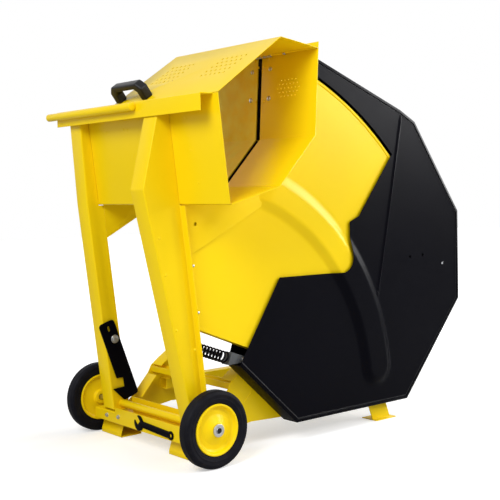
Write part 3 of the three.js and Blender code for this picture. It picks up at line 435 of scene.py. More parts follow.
def slot_ring(start, end, radius):
    """The outline of a hole with round ends: half circles about its two middle points, joined by straight
    sides."""
    start, end = np.asarray(start, float), np.asarray(end, float)
    lean = math.atan2(end[1] - start[1], end[0] - start[0])
    turn = np.linspace(math.pi / 2, 3 * math.pi / 2, 10) + lean
    arc = radius * np.stack([np.cos(turn), np.sin(turn)], 1)
    return np.concatenate([start + arc, end - arc])


def round_hole(x, z, radius):
    return slot_ring((x, z), (x + 0.01, z), radius)


def inside(outline, points):
    """Which points lie in an outline: those from which a line to the right crosses it an odd number of
    times."""
    ahead = np.roll(outline, -1, axis=0)
    x, z = points[:, :1], points[:, 1:]
    between = (outline[None, :, 1] > z) != (ahead[None, :, 1] > z)
    rise = ahead[:, 1] - outline[:, 1]
    rise = np.where(np.abs(rise) < NEARLY_ZERO, NEARLY_ZERO, rise)
    crossing = outline[:, 0] + (z - outline[:, 1]) * (ahead[:, 0] - outline[:, 0]) / rise
    return (between & (x < crossing)).sum(1) % 2 == 1


def nearest_edge(outline, points):
    """The distance from each point to the outline's nearest side."""
    along = np.roll(outline, -1, axis=0) - outline
    offset = points[:, None] - outline[None]
    share = (offset * along).sum(-1) / np.maximum((along * along).sum(-1), NEARLY_ZERO)
    foot = offset - np.clip(share, 0, 1)[..., None] * along
    return np.linalg.norm(foot, axis=-1).min(1)


def divided(outline, step):
    """An outline whose sides are no longer than a step, with points at corner + share * (next - corner)."""
    along = np.roll(outline, -1, axis=0) - outline
    counts = np.maximum(np.ceil(np.linalg.norm(along, axis=1) / step).astype(int), 1)
    corner = np.repeat(np.arange(len(outline)), counts)
    share = (np.arange(counts.sum()) - (np.cumsum(counts) - counts)[corner]) / counts[corner]
    return outline[corner] + share[:, None] * along[corner]


def pressed_sheet(outline, holes, grid, height, face, thickness):
    """A sheet pressed into relief: the outline, the holes' outlines and a grid are triangulated flat, each
    point then goes to y = face - height(x, z), and a back lies one thickness behind, with a wall round every
    edge."""
    outline = divided(np.asarray(outline, float), SHEET_STEP)
    rings = [outline] + holes
    grid = grid[inside(outline, grid)]
    for ring in rings:
        grid = grid[nearest_edge(ring, grid) > EDGE_CLEARANCE]
    for hole in holes:
        grid = grid[~inside(hole, grid)]
    edges, count = [], 0
    for ring in rings:
        edges += [(count + index, count + (index + 1) % len(ring)) for index in range(len(ring))]
        count += len(ring)
    flat = np.concatenate(rings + [grid])
    result = delaunay_2d_cdt([Vector(point) for point in flat.tolist()], edges, [], 0, SAME_POINT)
    flat = np.array([tuple(point) for point in result[0]])
    triangles = np.array([corners for corners in result[2] if len(corners) == 3])
    middle = flat[triangles].mean(1)
    keep = inside(outline, middle)
    for hole in holes:
        keep &= ~inside(hole, middle)
    triangles = triangles[keep]
    sides = np.concatenate([triangles[:, [0, 1]], triangles[:, [1, 2]], triangles[:, [2, 0]]])
    total = len(flat)
    keys = np.sort(sides, axis=1) @ np.array([total, 1])
    _, first, times = np.unique(keys, return_index=True, return_counts=True)
    border = sides[first[times == 1]]
    points = standing(flat, face - height(flat[:, 0], flat[:, 1]))
    points = np.concatenate([points, points + thickness * ALONG])
    walls = np.concatenate([border, border[:, ::-1] + total], axis=1)
    return points, triangles.tolist() + (triangles[:, ::-1] + total).tolist() + walls.tolist()


# Pieces

MERGE = 1e-6
CAD_MERGE = 1e-5
FLAT_ANGLE = 0.4
SHEET_LIMIT = 4.7
HOLE_STEP = 0.0024
FOLD_ANGLE = 9
CUT_ANGLE = 32
INNER_SHARE = 0.45
WIDEST = 20.0


def linked(name, mesh, finish):
    made = bpy.data.objects.new(name, mesh)
    bpy.context.scene.collection.objects.link(made)
    mesh.materials.clear()
    mesh.materials.append(finishes[finish])
    return made


def smooth(mesh, degrees):
    mesh.shade_smooth()
    mesh.set_sharp_from_angle(angle=math.radians(degrees))


def closed_mesh(name, surface):
    """A mesh of a surface, with its doubles merged and its faces turned outwards."""
    points, faces = surface
    mesh = bpy.data.meshes.new(name)
    mesh.from_pydata(place(points).tolist(), [], faces)
    shape = bmesh.new()
    shape.from_mesh(mesh)
    bmesh.ops.remove_doubles(shape, verts=shape.verts[:], dist=MERGE)
    bmesh.ops.recalc_face_normals(shape, faces=shape.faces[:])
    shape.to_mesh(mesh)
    shape.free()
    return mesh


def piece(name, surface, body, finish, degrees=35):
    """A new piece that rides on a body, or on none yet."""
    mesh = closed_mesh(name, surface)
    smooth(mesh, degrees)
    made = linked(name, mesh, finish)
    if body:
        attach(made, body)
    return made


def stand_in(name, surface, node, degrees=35):
    """A new piece in the place of a node of the frame, on the node's body and with its material slot."""
    made = piece(name, surface, body_of[node], slot_of[node], degrees)
    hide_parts(node)
    return made


def sleeve(node, name, centre, radii, soft, arcs=3, steps=48):
    """A ring with rounded edges between two radii, as long as the node that it stands in for."""
    low, high = span_of(node)
    inner, outer = radii
    ring = rounded([(inner, low), (outer, low), (outer, high), (inner, high)], soft, arcs)
    stand_in(name, turned(ring, centre, ALONG, steps), node)


def edge_widths(shape, fold, edge):
    """How wide each edge is rounded, in millimetres. A face's width is twice its area over its perimeter:
    an edge beside a face as narrow as the sheet is thick is a cut edge, and the rest are folds. The short
    edges round a small hole stay sharp."""
    thin = {face: 2 / MM * face.calc_area() / face.calc_perimeter() < SHEET_LIMIT for face in shape.faces}
    widths = {}
    for line in shape.edges:
        if len(line.link_faces) != 2:
            continue
        turn = math.degrees(line.calc_face_angle(0.0))
        beside = [thin[face] for face in line.link_faces]
        if turn < (CUT_ANGLE if all(beside) else FOLD_ANGLE):
            continue
        if not any(beside):
            widths[line] = fold if line.is_convex else fold * INNER_SHARE
        elif line.calc_length() < HOLE_STEP:
            line.smooth = False
        else:
            widths[line] = edge
    return widths


def worked(node, fold=4.0, edge=0.7, tool=None, segments=3):
    """A sheet-metal piece: a merged copy of the frame's piece, with its holes cut, its folds given a bend
    radius and its cut edges broken."""
    shape = bmesh.new()
    shape.from_mesh(frame["nodes"][node].data)
    bmesh.ops.remove_doubles(shape, verts=shape.verts[:], dist=CAD_MERGE)
    bmesh.ops.dissolve_limit(shape, angle_limit=math.radians(FLAT_ANGLE), verts=shape.verts[:],
                             edges=shape.edges[:])
    mesh = bpy.data.meshes.new(node + "_shape")
    shape.to_mesh(mesh)
    shape.free()
    made = linked(node + "_finished", mesh, slot_of[node])
    if tool is not None:
        cut(made, tool)
    shape = bmesh.new()
    shape.from_mesh(made.data)
    layer = shape.edges.layers.float.new("bevel_weight_edge")
    for face in shape.faces:
        face.smooth = True
    for line, width in edge_widths(shape, fold, edge).items():
        line[layer] = width / WIDEST
    shape.to_mesh(made.data)
    shape.free()
    bevel = made.modifiers.new("bends", "BEVEL")
    bevel.limit_method = "WEIGHT"
    bevel.width = WIDEST * MM
    bevel.segments = segments
    bevel.use_clamp_overlap = False
    bevel.harden_normals = True
    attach(made, body_of[node])
    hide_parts(node)
    return made


def cut(made, tool):
    """Cuts a tool surface out of a piece, at once, and takes the tool away."""
    finish = made.data.materials[0]
    cutter = linked("tool", closed_mesh("tool", tool), "zinc")
    difference = made.modifiers.new("holes", "BOOLEAN")
    difference.operation = "DIFFERENCE"
    difference.solver = "EXACT"
    difference.object = cutter
    graph = bpy.context.evaluated_depsgraph_get()
    result = bpy.data.meshes.new_from_object(made.evaluated_get(graph))
    made.modifiers.clear()
    made.data = result
    bpy.data.objects.remove(cutter)
    result.materials.clear()
    result.materials.append(finish)


def broken_edges(made):
    """Breaks the cut edges of a pressed sheet: those between a triangle of its faces and a quad of its
    walls."""
    shape = bmesh.new()
    shape.from_mesh(made.data)
    lines = [line for line in shape.edges if {len(face.verts) for face in line.link_faces} == {3, 4}]
    bmesh.ops.bevel(shape, geom=lines, offset=0.5 * MM, segments=1, profile=0.5, affect="EDGES",
                    clamp_overlap=False)
    shape.to_mesh(made.data)
    shape.free()
    smooth(made.data, 34)


# Fasteners

def hex_head(centre, axis, flats, height, washer=0.0):
    """A hexagon head with a chamfered top on a round washer; centre is on the surface that it sits on."""
    corner = flats / math.sqrt(3)
    top = washer + height
    head = [(0, top), (flats * 0.46, top), (corner, top - height * 0.28), (corner, washer), (0, washer)]
    parts = [turned(head, centre, axis, 48, flats)]
    if washer:
        rim = corner * 1.22
        disc = [(0, washer), (rim - 0.3, washer), (rim, washer - 0.3), (rim, -0.2), (0, -0.2)]
        parts.append(turned(disc, centre, axis, 32))
    return gathered(*parts)


def dome_head(centre, axis, radius, height):
    """A round head: a flattened half circle on its surface."""
    angle = np.linspace(math.pi / 2, 0, 8)
    profile = np.stack([radius * np.cos(angle), height * np.sin(angle)], 1)
    profile[0, 0] = 0
    return turned(np.concatenate([profile, [[radius, -0.3], [0, -0.3]]]), centre, axis, 28)


def socket_head(centre, axis, radius, height):
    """A cylinder head with a round socket sunk into its top."""
    shell = [(0, -0.2), (radius, -0.2), (radius, height - 0.5), (radius - 0.5, height)]
    shell += [(radius * 0.55, height), (radius * 0.5, height - 0.3), (radius * 0.5, height * 0.4)]
    return turned(shell + [(0, height * 0.4)], centre, axis, 30)


def weld_bead(start, end, radius, reference, pitch):
    """A weld: a round bead along a line, whose radius swells with each drop and drifts slowly, as
    radius * (1 + 0.14 sin(2 pi s / pitch) + 0.08 sin(0.9 s))."""
    length = np.linalg.norm(np.asarray(end, float) - np.asarray(start, float))
    count = max(int(length / pitch * 4), 8)
    along = np.linspace(0, length, count)
    ripple = radius * (1 + 0.14 * np.sin(2 * math.pi * along / pitch) + 0.08 * np.sin(along * 0.9))
    ripple[[0, -1]] = radius * 0.5
    return swept(np.linspace(start, end, count), ripple, reference, 8)


# Wheels, axle and bars: profiles of (radius, depth from the outer face)

TYRE_WALL = [(83.3, 5), (96, 2.6), (99, 1.2), (102, 2.0), (112, 0.2), (120, 2.4), (125, 10), (125, 36),
             (120, 43.6), (112, 45.8), (102, 44), (99, 44.8), (96, 43.4), (83.3, 41)]
RIM = [(10.4, 0.3), (22, 0.3), (25, 2.4), (32, 6.4), (49, 15.0), (63, 18.0), (71, 14.5), (75.5, 4),
       (78.5, 2.4), (83, 2.4), (83, 43.6), (78.5, 43.6), (75.5, 42), (70, 34), (27, 34), (24, 45.7),
       (10.4, 45.7)]
# A dark disc in each axle end, painted shade for the recess there: (radius, depth into the end).
AXLE_SHADE_DISC = [(0, 0.3), (8.6, 0.3), (9.2, 0.9), (9.2, 2.2), (0, 2.2)]
RIBS = 6
RIB_RISE = 3.6


def wheel(side):
    """A pressed rim and a solid tyre, both turned. Six ribs swell from the rim's back, by
    rise * smoothstep(2.2 cos(6 a) - 1) between the radii 31 and 68."""
    near, far = span_of("tyre_" + side)
    face, out = (near, 1) if side == "near" else (far, -1)
    wall, rim = [[(radius, face + out * depth) for radius, depth in profile] for profile in (TYRE_WALL, RIM)]
    stand_in("tyre_" + side + "_rubber", turned(rounded(wall, 5.0, 3), AXLE, ALONG, 96), "tyre_" + side, 50)
    points, faces = turned(rounded(rim, 3.0, 3), AXLE, ALONG, 144)
    x, z = points[:, 0], points[:, 2] - AXLE_HEIGHT
    radius = np.hypot(x, z)
    behind = (points[:, 1] - face) * out > 30
    band = np.clip((radius - 31) / 8, 0, 1) * np.clip((68 - radius) / 8, 0, 1)
    rib = np.clip(np.cos(np.arctan2(z, x) * RIBS) * 2.2 - 1.0, 0, 1)
    rib = rib * rib * (3 - 2 * rib)
    points[:, 1] += out * np.where(behind, RIB_RISE, 0.0) * band * rib
    stand_in("wheel_" + side + "_rim", (points, faces), "wheel_" + side, 40)


def axle_and_washers():
    """The axle with its recessed ends, a dark disc in each end that paints the shade of the recess, and a
    washer beside each wheel.
    """
    start, end = span_of("axle_shaft")
    shaft = [(0, start + 1.6), (9.0, start + 1.6), (9.0, start), (9.4, start), (10, start + 0.8)]
    shaft += [(10, end - 0.8), (9.4, end), (9.0, end), (9.0, end - 1.6), (0, end - 1.6)]
    stand_in("axle_rod", turned(shaft, AXLE, ALONG, 48), "axle_shaft")
    shade_discs = []
    for face, into in ((start, 1), (end, -1)):
        shade_discs.append(turned([(radius, face + into * depth) for radius, depth in AXLE_SHADE_DISC], AXLE, ALONG, 32))
    # Dark discs that paint the shade in the axle's recessed ends.
    piece("axle_end_shade_discs", gathered(*shade_discs), "frame", "black_plastic")
    for node in ("axle_washer_near", "axle_washer_far"):
        sleeve(node, node + "_plated", AXLE, (10.3, 21), 1.1)


def bars():
    """The sleeve that turns on the axle, and the round handle bar."""
    sleeve("pivot_tube", "pivot_sleeve", AXLE, (10.4, 13.5), 0.8, arcs=2)
    low, high = box_of("handle_bar")
    corners = [(0.0, low[1]), (13, low[1]), (13, high[1]), (0.0, high[1])]
    outline = rounded(corners, [0.01, 2.5, 2.5, 0.01], 4)
    outline[np.abs(outline[:, 0]) < 0.1, 0] = 0
    centre = (low + high) / 2 * (ACROSS + UP)
    stand_in("handle_tube", turned(outline, centre, ALONG, 40), "handle_bar")


# Return spring

SPRING_SEAT = np.array([-71.0, 108.0, 400.0])
SPRING_END = np.array([123.5, 108.0, 326.8])
SPRING_TURNS = 14
COIL_RADIUS = 17.4
WIRE_RADIUS = 3.2


def return_spring():
    """The spring's wire: seat + axis * (share of the length) + coil radius * (cos, sin) over fourteen even
    turns, from one wire's width above the seat to one below the end."""
    axis = unit(SPRING_END - SPRING_SEAT)
    margin = 0.3 + 2 * WIRE_RADIUS
    length = np.linalg.norm(SPRING_END - SPRING_SEAT) - 2 * margin
    share = np.linspace(0, 1, SPRING_TURNS * 32 + 1)[:, None]
    angle = 2 * math.pi * SPRING_TURNS * share
    radial = np.cos(angle) * np.cross(axis, ALONG) + np.sin(angle) * ALONG
    path = SPRING_SEAT + (margin + length * share) * axis + COIL_RADIUS * radial
    made = piece("return_spring_coils", swept(path, WIRE_RADIUS, axis), None, "black_paint", 60)
    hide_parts("return_spring")
    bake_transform(made)


# Blade, motor and switch

MOTOR_END = [(14.4, 0), (60, 0), (97, 3), (99.4, 6), (99.4, 22), (97, 24), (97.5, 26)]
FINNED_FROM = 25
FINS = 32
FIN_DEPTH = 9.5
GRILLE_SLOTS = 24
# Each button: its height, and its crown as (radius, depth from the front). The bezel: (wider, depth).
BUTTONS = {
    "start": (649.3, [(0, 1.4), (6.05, 0.98), (8.8, 0), (10.4, 0.8), (11, 2.4)]),
    "stop": (597.2, [(0, 0), (8.8, 0.4), (13.4, 1.6), (15.3, 3.2), (16, 5.4)]),
}
BEZEL = [(0.9, 0.2), (1.2, -1.6), (2.4, -2.4), (4.6, -1.6), (5.2, 0.2)]
SCREW_INSET = 11


def blade_parts():
    """The saw blade, its two flanges, its hexagon nut and the shaft."""
    worked("saw_blade", fold=0.4, edge=0.35, segments=1)
    for node in ("blade_flange_outer", "blade_flange_inner"):
        sleeve(node, node + "_turned", BLADE_CENTRE, (14.3, 55), 1.4, steps=72)
    low, high = span_of("blade_nut")
    flats = 24 * math.sqrt(3)
    rim = flats * 0.47
    nut = [(14.3, low), (rim, low), (24, low + 2.6), (24, high - 2.6), (rim, high), (14.3, high)]
    stand_in("blade_nut_hexagon", turned(nut, BLADE_CENTRE, ALONG, 72, flats), "blade_nut")
    low, high = span_of("motor_shaft")
    shaft = [(0, low), (12.4, low), (14, low + 1.6), (14, high - 1.6), (12.4, high), (0, high)]
    stand_in("motor_shaft_turned", turned(shaft, BLADE_CENTRE, ALONG, 48), "motor_shaft")


def grille_slot(turn, face):
    """One radial slot of the cowl: a thin bar along (cos turn, sin turn), from 34 to 82 mm from the axis."""
    outwards = np.array([math.cos(turn), 0.0, math.sin(turn)])
    low, high = BLADE_CENTRE + 34 * outwards, BLADE_CENTRE + 82 * outwards
    return bar(low, high, np.cross(outwards, ALONG), -2.4, 2.4, face - 9, face + 5)


def motor():
    """The motor: its shell has two end shields and, between them, 32 fins, with the radius 97.5 less
    9.5 * (1 - (0.5 + 1.6 cos(32 a)) held between 0 and 1). Then its flange, and the cowl with its slots."""
    low, high = span_of("motor_housing")
    levels = [(radius, low + depth) for radius, depth in MOTOR_END]
    levels += [(radius, high - depth) for radius, depth in MOTOR_END[::-1]]
    points, faces = turned(levels, BLADE_CENTRE, ALONG, FINS * 10)
    offset = points - BLADE_CENTRE
    x, y, z = offset.T
    radius = np.hypot(x, z)
    finned = (y > low + FINNED_FROM) & (y < high - FINNED_FROM)
    fin = np.clip(0.5 + 1.6 * np.cos(np.arctan2(z, x) * FINS), 0, 1)
    shrink = (radius - np.where(finned, FIN_DEPTH * (1 - fin), 0.0)) / radius
    points[:, ::2] = BLADE_CENTRE[::2] + offset[:, ::2] * shrink[:, None]
    stand_in("motor_shell", (points, faces), "motor_housing", 30)
    sleeve("motor_flange", "motor_flange_ring", BLADE_CENTRE, (20, 80), 1.6, steps=96)
    low, high = span_of("motor_cowl")
    cup = [(0, high - 4), (97, high - 4), (97, low), (100, low), (100, high - 9), (97.5, high - 3)]
    cowl = turned(cup + [(90, high), (0, high)], BLADE_CENTRE, ALONG, 96)
    made = stand_in("motor_cowl_shell", cowl, "motor_cowl")
    turns = np.linspace(0, 2 * math.pi, GRILLE_SLOTS, endpoint=False)
    cut(made, gathered(*[grille_slot(turn, high) for turn in turns]))
    smooth(made.data, 30)


def switch_gear():
    """The switch box with two buttons, their bezels and its screws, the terminal box, and the inlet."""
    worked("switch_box", fold=5.0, edge=1.0, segments=4)
    worked("terminal_box", edge=1.0, segments=4)
    low, high = box_of("switch_box")
    for name, (height, crown) in BUTTONS.items():
        node = name + "_button"
        front, back = [corner[0] for corner in box_of(node)]
        radius = crown[-1][0]
        centre = (0, (low[1] + high[1]) / 2, height)
        cap = [(reach, front + depth) for reach, depth in crown] + [(radius, back), (0, back)]
        stand_in(node + "_cap", turned(cap, centre, ACROSS, 48), node)
        ring = [(radius + wider, low[0] + depth) for wider, depth in BEZEL]
        piece(node + "_bezel", turned(ring, centre, ACROSS, 48), "frame", "black_plastic")
    rows = (low[2] + SCREW_INSET, high[2] - SCREW_INSET)
    corners = [(low[0], y, z) for y in (low[1] + SCREW_INSET, high[1] - SCREW_INSET) for z in rows]
    screws = gathered(*[socket_head(corner, -ACROSS, 3.4, 1.8) for corner in corners])
    piece("switch_box_screws", screws, "frame", "zinc")
    power_inlet()


def power_inlet():
    """The inlet: a collared cup that opens downwards, and five pins in it."""
    low, high = box_of("power_inlet")
    centre = (low + high) / 2 * (ACROSS + ALONG)
    bottom, top = low[2], high[2]
    cup = [(0.0, top), (22, top), (24, top - 1.5), (24, top - 8), (23.2, top - 9), (23.2, bottom + 4)]
    cup += [(24, bottom + 3), (24, bottom), (21, bottom), (21, top - 12), (0.0, top - 12)]
    stand_in("power_inlet_shell", turned(cup, centre, UP, 60), "power_inlet")
    pin = [(0.0, top - 11.8), (2.4, top - 11.8), (2.4, bottom + 9), (1.4, bottom + 8), (0.0, bottom + 8)]
    pins = []
    for turn in np.radians([90, 162, 234, 306, 18]):
        pins.append(turned(pin, centre + 11.5 * (math.cos(turn) * ACROSS + math.sin(turn) * ALONG), UP, 16))
    piece("power_inlet_pins", gathered(*pins), "frame", "steel")


# Guard and fan plates

SHEET = 2.0
COVER_FACE = 74.0
COVER_TRACK = (83.2, 76.0)
COVER_ARC = 1255.5
GUARD_TIP = (152, 300)
GUARD_OUTER = np.array([(401, 70), (971, 70), (1284, 432), (1281, 781), (1027, 1126), (947, 1167),
                        (526, 1327), (430, 1363)], float)
CREASE = np.array([(950.5, 1146), (882, 813), (812, 484)], float)
CREASE_RISE = 5.0
CREASE_HALF = 4.6
CREASE_CLEAR = 906
FAN_FACE = 83.3
FAN_TRACK = (60.0, 69.0)
FAN_TRACK_FIRST = 17.0
FAN_FOLD = 83.6


def crease_curve(count):
    """The cover's stiffening crease: a quadratic curve through its three points, and its unit normals."""
    share = np.linspace(0, 1, count)[:, None]
    pull = 2 * CREASE[1] - (CREASE[0] + CREASE[2]) / 2
    path = (1 - share) ** 2 * CREASE[0] + 2 * share * (1 - share) * pull + share ** 2 * CREASE[2]
    tangent = unit(np.gradient(path, axis=0))
    return path, np.stack([-tangent[:, 1], tangent[:, 0]], 1)


def cover_height(x, z):
    """The raised track and a ridge along the crease, rise * exp(-(d / half width) squared), which fades in
    over the first points of the curve."""
    path, _ = crease_curve(160)
    distance = np.linalg.norm(np.stack([x, z], -1)[:, None] - path[None], axis=-1)
    fade = np.clip((distance.argmin(1) + 1) / 4, 0, 1)
    ridge = CREASE_RISE * np.exp(-(distance.min(1) / CREASE_HALF) ** 2) * fade
    return track_height(x, z, None, *COVER_TRACK) + ridge


def cover():
    """The near cover: its outer corners, an arc about the axle and a notch, with the track and the crease
    pressed into it and two round holes."""
    notch = rounded([(720, 776), (673, 757), (673, 577), (333, 580), GUARD_TIP], [1, 4, 50, 3, 3], 8)
    arc = polar(COVER_ARC, np.linspace(19, 45.7, 40))
    outline = np.concatenate([GUARD_OUTER, arc, [(720, 776)], notch[9:-9], [GUARD_TIP]])
    path, normal = crease_curve(70)
    across = np.array([1.8, 3.6, 5.5, 7.5, 10, 16, 26])
    across = np.concatenate([-across[::-1], [0], across])
    strip = (path[:, None] + across[None, :, None] * normal[:, None]).reshape(-1, 2)
    strip = strip[np.hypot(strip[:, 0], strip[:, 1] - AXLE_HEIGHT) > CREASE_CLEAR]
    grid = np.concatenate([track_grid(30, *COVER_TRACK), strip])
    holes = [round_hole(x, z, 5.2) for x, z in ((995.3, 613.1), (1068.4, 616.6))]
    surface = pressed_sheet(outline, holes, grid, cover_height, COVER_FACE, SHEET)
    broken_edges(stand_in("guard_cover_pressed", surface, "guard_cover", 180))


def ribbon(edge, outer, inner, front_out, front_in):
    """A flat band along an open line of corners: at each corner the line is set in by the outer and inner
    distance along the corner's mitre, distance / cos(half turn), with its two front edges broken by 0.6."""
    back = COVER_FACE + 0.2
    along = unit(np.diff(edge, axis=0))
    before = np.concatenate([along[:1], along])
    after = np.concatenate([along, along[-1:]])
    left = np.stack([-before[:, 1] - after[:, 1], before[:, 0] + after[:, 0]], 1)
    mitre = 2 * left / (left * left).sum(1, keepdims=True)
    section = [(outer, back), (outer, front_out + 0.4), (outer + 0.6, front_out)]
    section += [(inner - 0.6, front_in), (inner, front_in + 0.4), (inner, back)]
    points = np.stack([standing(edge + mitre * reach, depth) for reach, depth in section], 1).reshape(-1, 3)
    count = len(edge)
    return points, lattice(count, 6) + [list(range(6)), list(range((count - 1) * 6, count * 6))]


def guard():
    """The near cover with its lip, its seam and its screw, and the guard's other plates."""
    cover()
    edge = np.concatenate([[GUARD_TIP], GUARD_OUTER, polar(COVER_ARC, np.array([19.0]))])
    piece("guard_cover_lip", ribbon(edge, 0.4, 11.5, 73.2, 70.6), "frame", "black_paint", 40)
    piece("guard_cover_seam", ribbon(edge, 12.0, 15.5, 73.6, 73.6), "frame", "black_plastic", 40)
    worked("guard_far_plate", edge=0.6)
    worked("guard_rim", fold=5.0, edge=0.8)
    worked("guard_front_strip", edge=0.8)
    piece("cover_screw", socket_head((1184.1, COVER_FACE, 576.5), -ALONG, 4.5, 2.2), "frame", "zinc")


def fan_height(x, z):
    return track_height(x, z, FAN_TRACK_FIRST, *FAN_TRACK)


def fans():
    """The two fan plates, the near one pressed and with a flattened fold along its rim."""
    outline = [(-60, 458), (192, 356), (230, 340), (380, 545), (700, 545)]
    upper = [(295.8, 1330), (277.2, 1044.6), (125.8, 885.7), (-65.2, 835.8)]
    outline = np.concatenate([outline, polar(1250.5, np.linspace(50, 14.3, 60)), upper])
    surface = pressed_sheet(outline, [], track_grid(12, *FAN_TRACK), fan_height, FAN_FACE, SHEET)
    broken_edges(stand_in("fan_near_pressed", surface, "fan_near", 180))
    worked("fan_far", edge=0.6)
    path = standing(polar(1243.5, np.linspace(50, 14.5, 160)), FAN_FOLD)
    points, faces = swept(path, 6.5, ALONG)
    points[:, 1] = FAN_FOLD + (points[:, 1] - FAN_FOLD) * 0.6
    piece("fan_edge_fold", (points, faces), "cradle", "yellow_paint", 60)
    screws = [dome_head((x, FAN_FACE, z), -ALONG, 4.6, 2.6) for x, z in ((-22.4, 642.2), (-6.0, 492.0))]
    piece("fan_screws", gathered(*screws), "cradle", "zinc")


# Trough, hood and grips

HOOD_START = np.array([-107.0, 0.0, 1162.6])
HOOD_SLOPE = np.array([0.8115, 0.0, 0.5843])
HOOD_NORMAL = np.array([-0.5843, 0.0, 0.8115])
WALL_START = np.array([274.0, 0.0, 1046.0])
WALL_SLOPE = unit([19.0, 0.0, 292.0])
WALL_NORMAL = np.array([-WALL_SLOPE[2], 0.0, WALL_SLOPE[0]])
BED_LOW = np.array([125.0, 0.0, 891.0])
BED_SLOPE = unit([151.0, 0.0, 157.0])
BED_NORMAL = np.array([-BED_SLOPE[2], 0.0, BED_SLOPE[0]])
# Front and back depth and near and far reach of the dark bars that paint the shade in the blade slot.
SLOT_SHADE_SPAN = (4, 21, 116.2, 117.6)

# Round heads on the back wall: (distance up the wall, y, radius)
ZINC_HEADS = [(134, 149.5, 8.5), (133.5, 57, 8.5), (229, 146, 7.5), (230.5, 54, 7.5)]
PAINTED_HEADS = [(126.3, 122, 4.5), (126.3, 83.2, 4.5), (241, 114.6, 4), (241, 83, 4), (265.5, 130.4, 6),
                 (266.5, 60.8, 6)]


def on_hood(up_panel, y):
    return HOOD_START + up_panel * HOOD_SLOPE + y * ALONG


def on_wall(up_wall, y):
    return WALL_START + up_wall * WALL_SLOPE + y * ALONG


def peg(centre, normal, radius, reach, steps):
    """A round cutter, from 6 mm behind a sheet's face to a reach before it."""
    return turned([(0, -6), (radius, -6), (radius, reach), (0, reach)], centre, normal, steps)


def hood_perforations():
    """Two fields of five rows by six holes, a 23 mm grid that leans 3.5 mm from row to row."""
    places = [(row, start - row * 3.5 - column * 23)
              for start in (307.0, 37.0) for row in range(5) for column in range(6)]
    return gathered(*[peg(on_hood(120 + row * 23.4, y), HOOD_NORMAL, 4.7, 10, 14) for row, y in places])


def wall_perforations():
    """A staggered field in the back wall: rows of five to seven holes, 17 mm apart, rows 13 mm apart."""
    places = [(row, -38 + (column - (count - 1) / 2) * 17)
              for row, count in enumerate((5, 6, 7, 6, 5)) for column in range(count)]
    return gathered(*[peg(on_wall(187 - row * 13, y), WALL_NORMAL, 2.4, 6, 12) for row, y in places])


def slot_painted_shade():
    """Painted shade in the blade slot: dark bars along its far side and over its closed top, thin bars that
    follow the back wall and the bed's slope behind the sheet."""
    wall = bar(WALL_START, on_wall(262, 0), WALL_NORMAL, *SLOT_SHADE_SPAN)
    bed = bar(BED_LOW, WALL_START, BED_NORMAL, *SLOT_SHADE_SPAN)
    return gathered(wall, bed, bar(on_wall(232, 0), on_wall(284, 0), WALL_NORMAL, 1.2, 2.6, 98.4, 117.6))


def wall_heads(heads, share):
    """Round heads on the back wall, each as high as its radius times a share."""
    return gathered(*[dome_head(on_wall(up_wall, y), WALL_NORMAL, radius, radius * share)
                      for up_wall, y, radius in heads])


def trough():
    """The cradle's sheets, worked from the frame's, and the bolts and welds on them, with bright zinc beads
    that paint the light shining through the hood's joint and dark bars that paint the shade in the blade
    slot.
    """
    worked("hood", fold=3.5, edge=0.55, tool=hood_perforations())
    worked("trough_bed_near", fold=5.0, edge=0.8, tool=wall_perforations())
    # The far bed: paler, rougher noisy patches on its inner faces.
    patched_bed = worked("trough_bed_far", fold=5.0, edge=0.8)
    normals = [tuple(normal.tolist()) for normal in (WALL_NORMAL, BED_NORMAL)]
    patched_bed.data.materials[0] = pale_patched(YELLOW, YELLOW_DEEP, YELLOW_PALE_PATCH, spot(WALL_START), normals)
    worked("trough_front_wall", fold=5.0, edge=0.8)
    for node in ("slot_head_plate", "rim_channel", "leg_far", "spring_seat", "gusset_far"):
        worked(node)
    worked("leg_near", fold=4.5, edge=0.8)
    hole = turned([(0, 70), (6, 70), (6, 86), (0, 86)], (-15.6, 0, 774.5), ALONG, 24)
    worked("gusset_near", edge=0.6, tool=hole)
    worked("side_grip", fold=5.0, edge=2.0, segments=4)
    piece("slot_bolts", wall_heads(ZINC_HEADS, 0.53), "cradle", "zinc")
    piece("slot_bolts_painted", wall_heads(PAINTED_HEADS, 0.45), "cradle", "yellow_paint")
    seam = weld_bead((281.5, -168, 1319.0), (281.5, 370, 1319.0), 3.2, UP, 5.0)
    piece("hood_weld", seam, "cradle", "yellow_paint", 70)
    # Weld beads in bright zinc along the hood's joint: a painted highlight for the light that shines through
    # the gap there.
    glint_beads = [weld_bead((281.0, y, 1317.0), (281.0, y + length, 1317.0), 4.4, UP, 6.0)
             for y, length in ((38, 22), (66, 14), (88, 30), (-30, 12))]
    piece("hood_gap_light_beads", gathered(*glint_beads), "cradle", "zinc", 70)
    # Dark bars that paint the shade in the blade slot.
    piece("slot_painted_shade", slot_painted_shade(), "cradle", "tyre", 30)


# Latch, base frame and small details

LATCH_PIVOT = np.array([-27.0, 0.0, 359.0])
FRONT_WALL_FOOT = (-72.2, 839)
FRONT_WALL_LEAN = 38 / 323


def flat_height(x, z):
    return np.zeros_like(x)


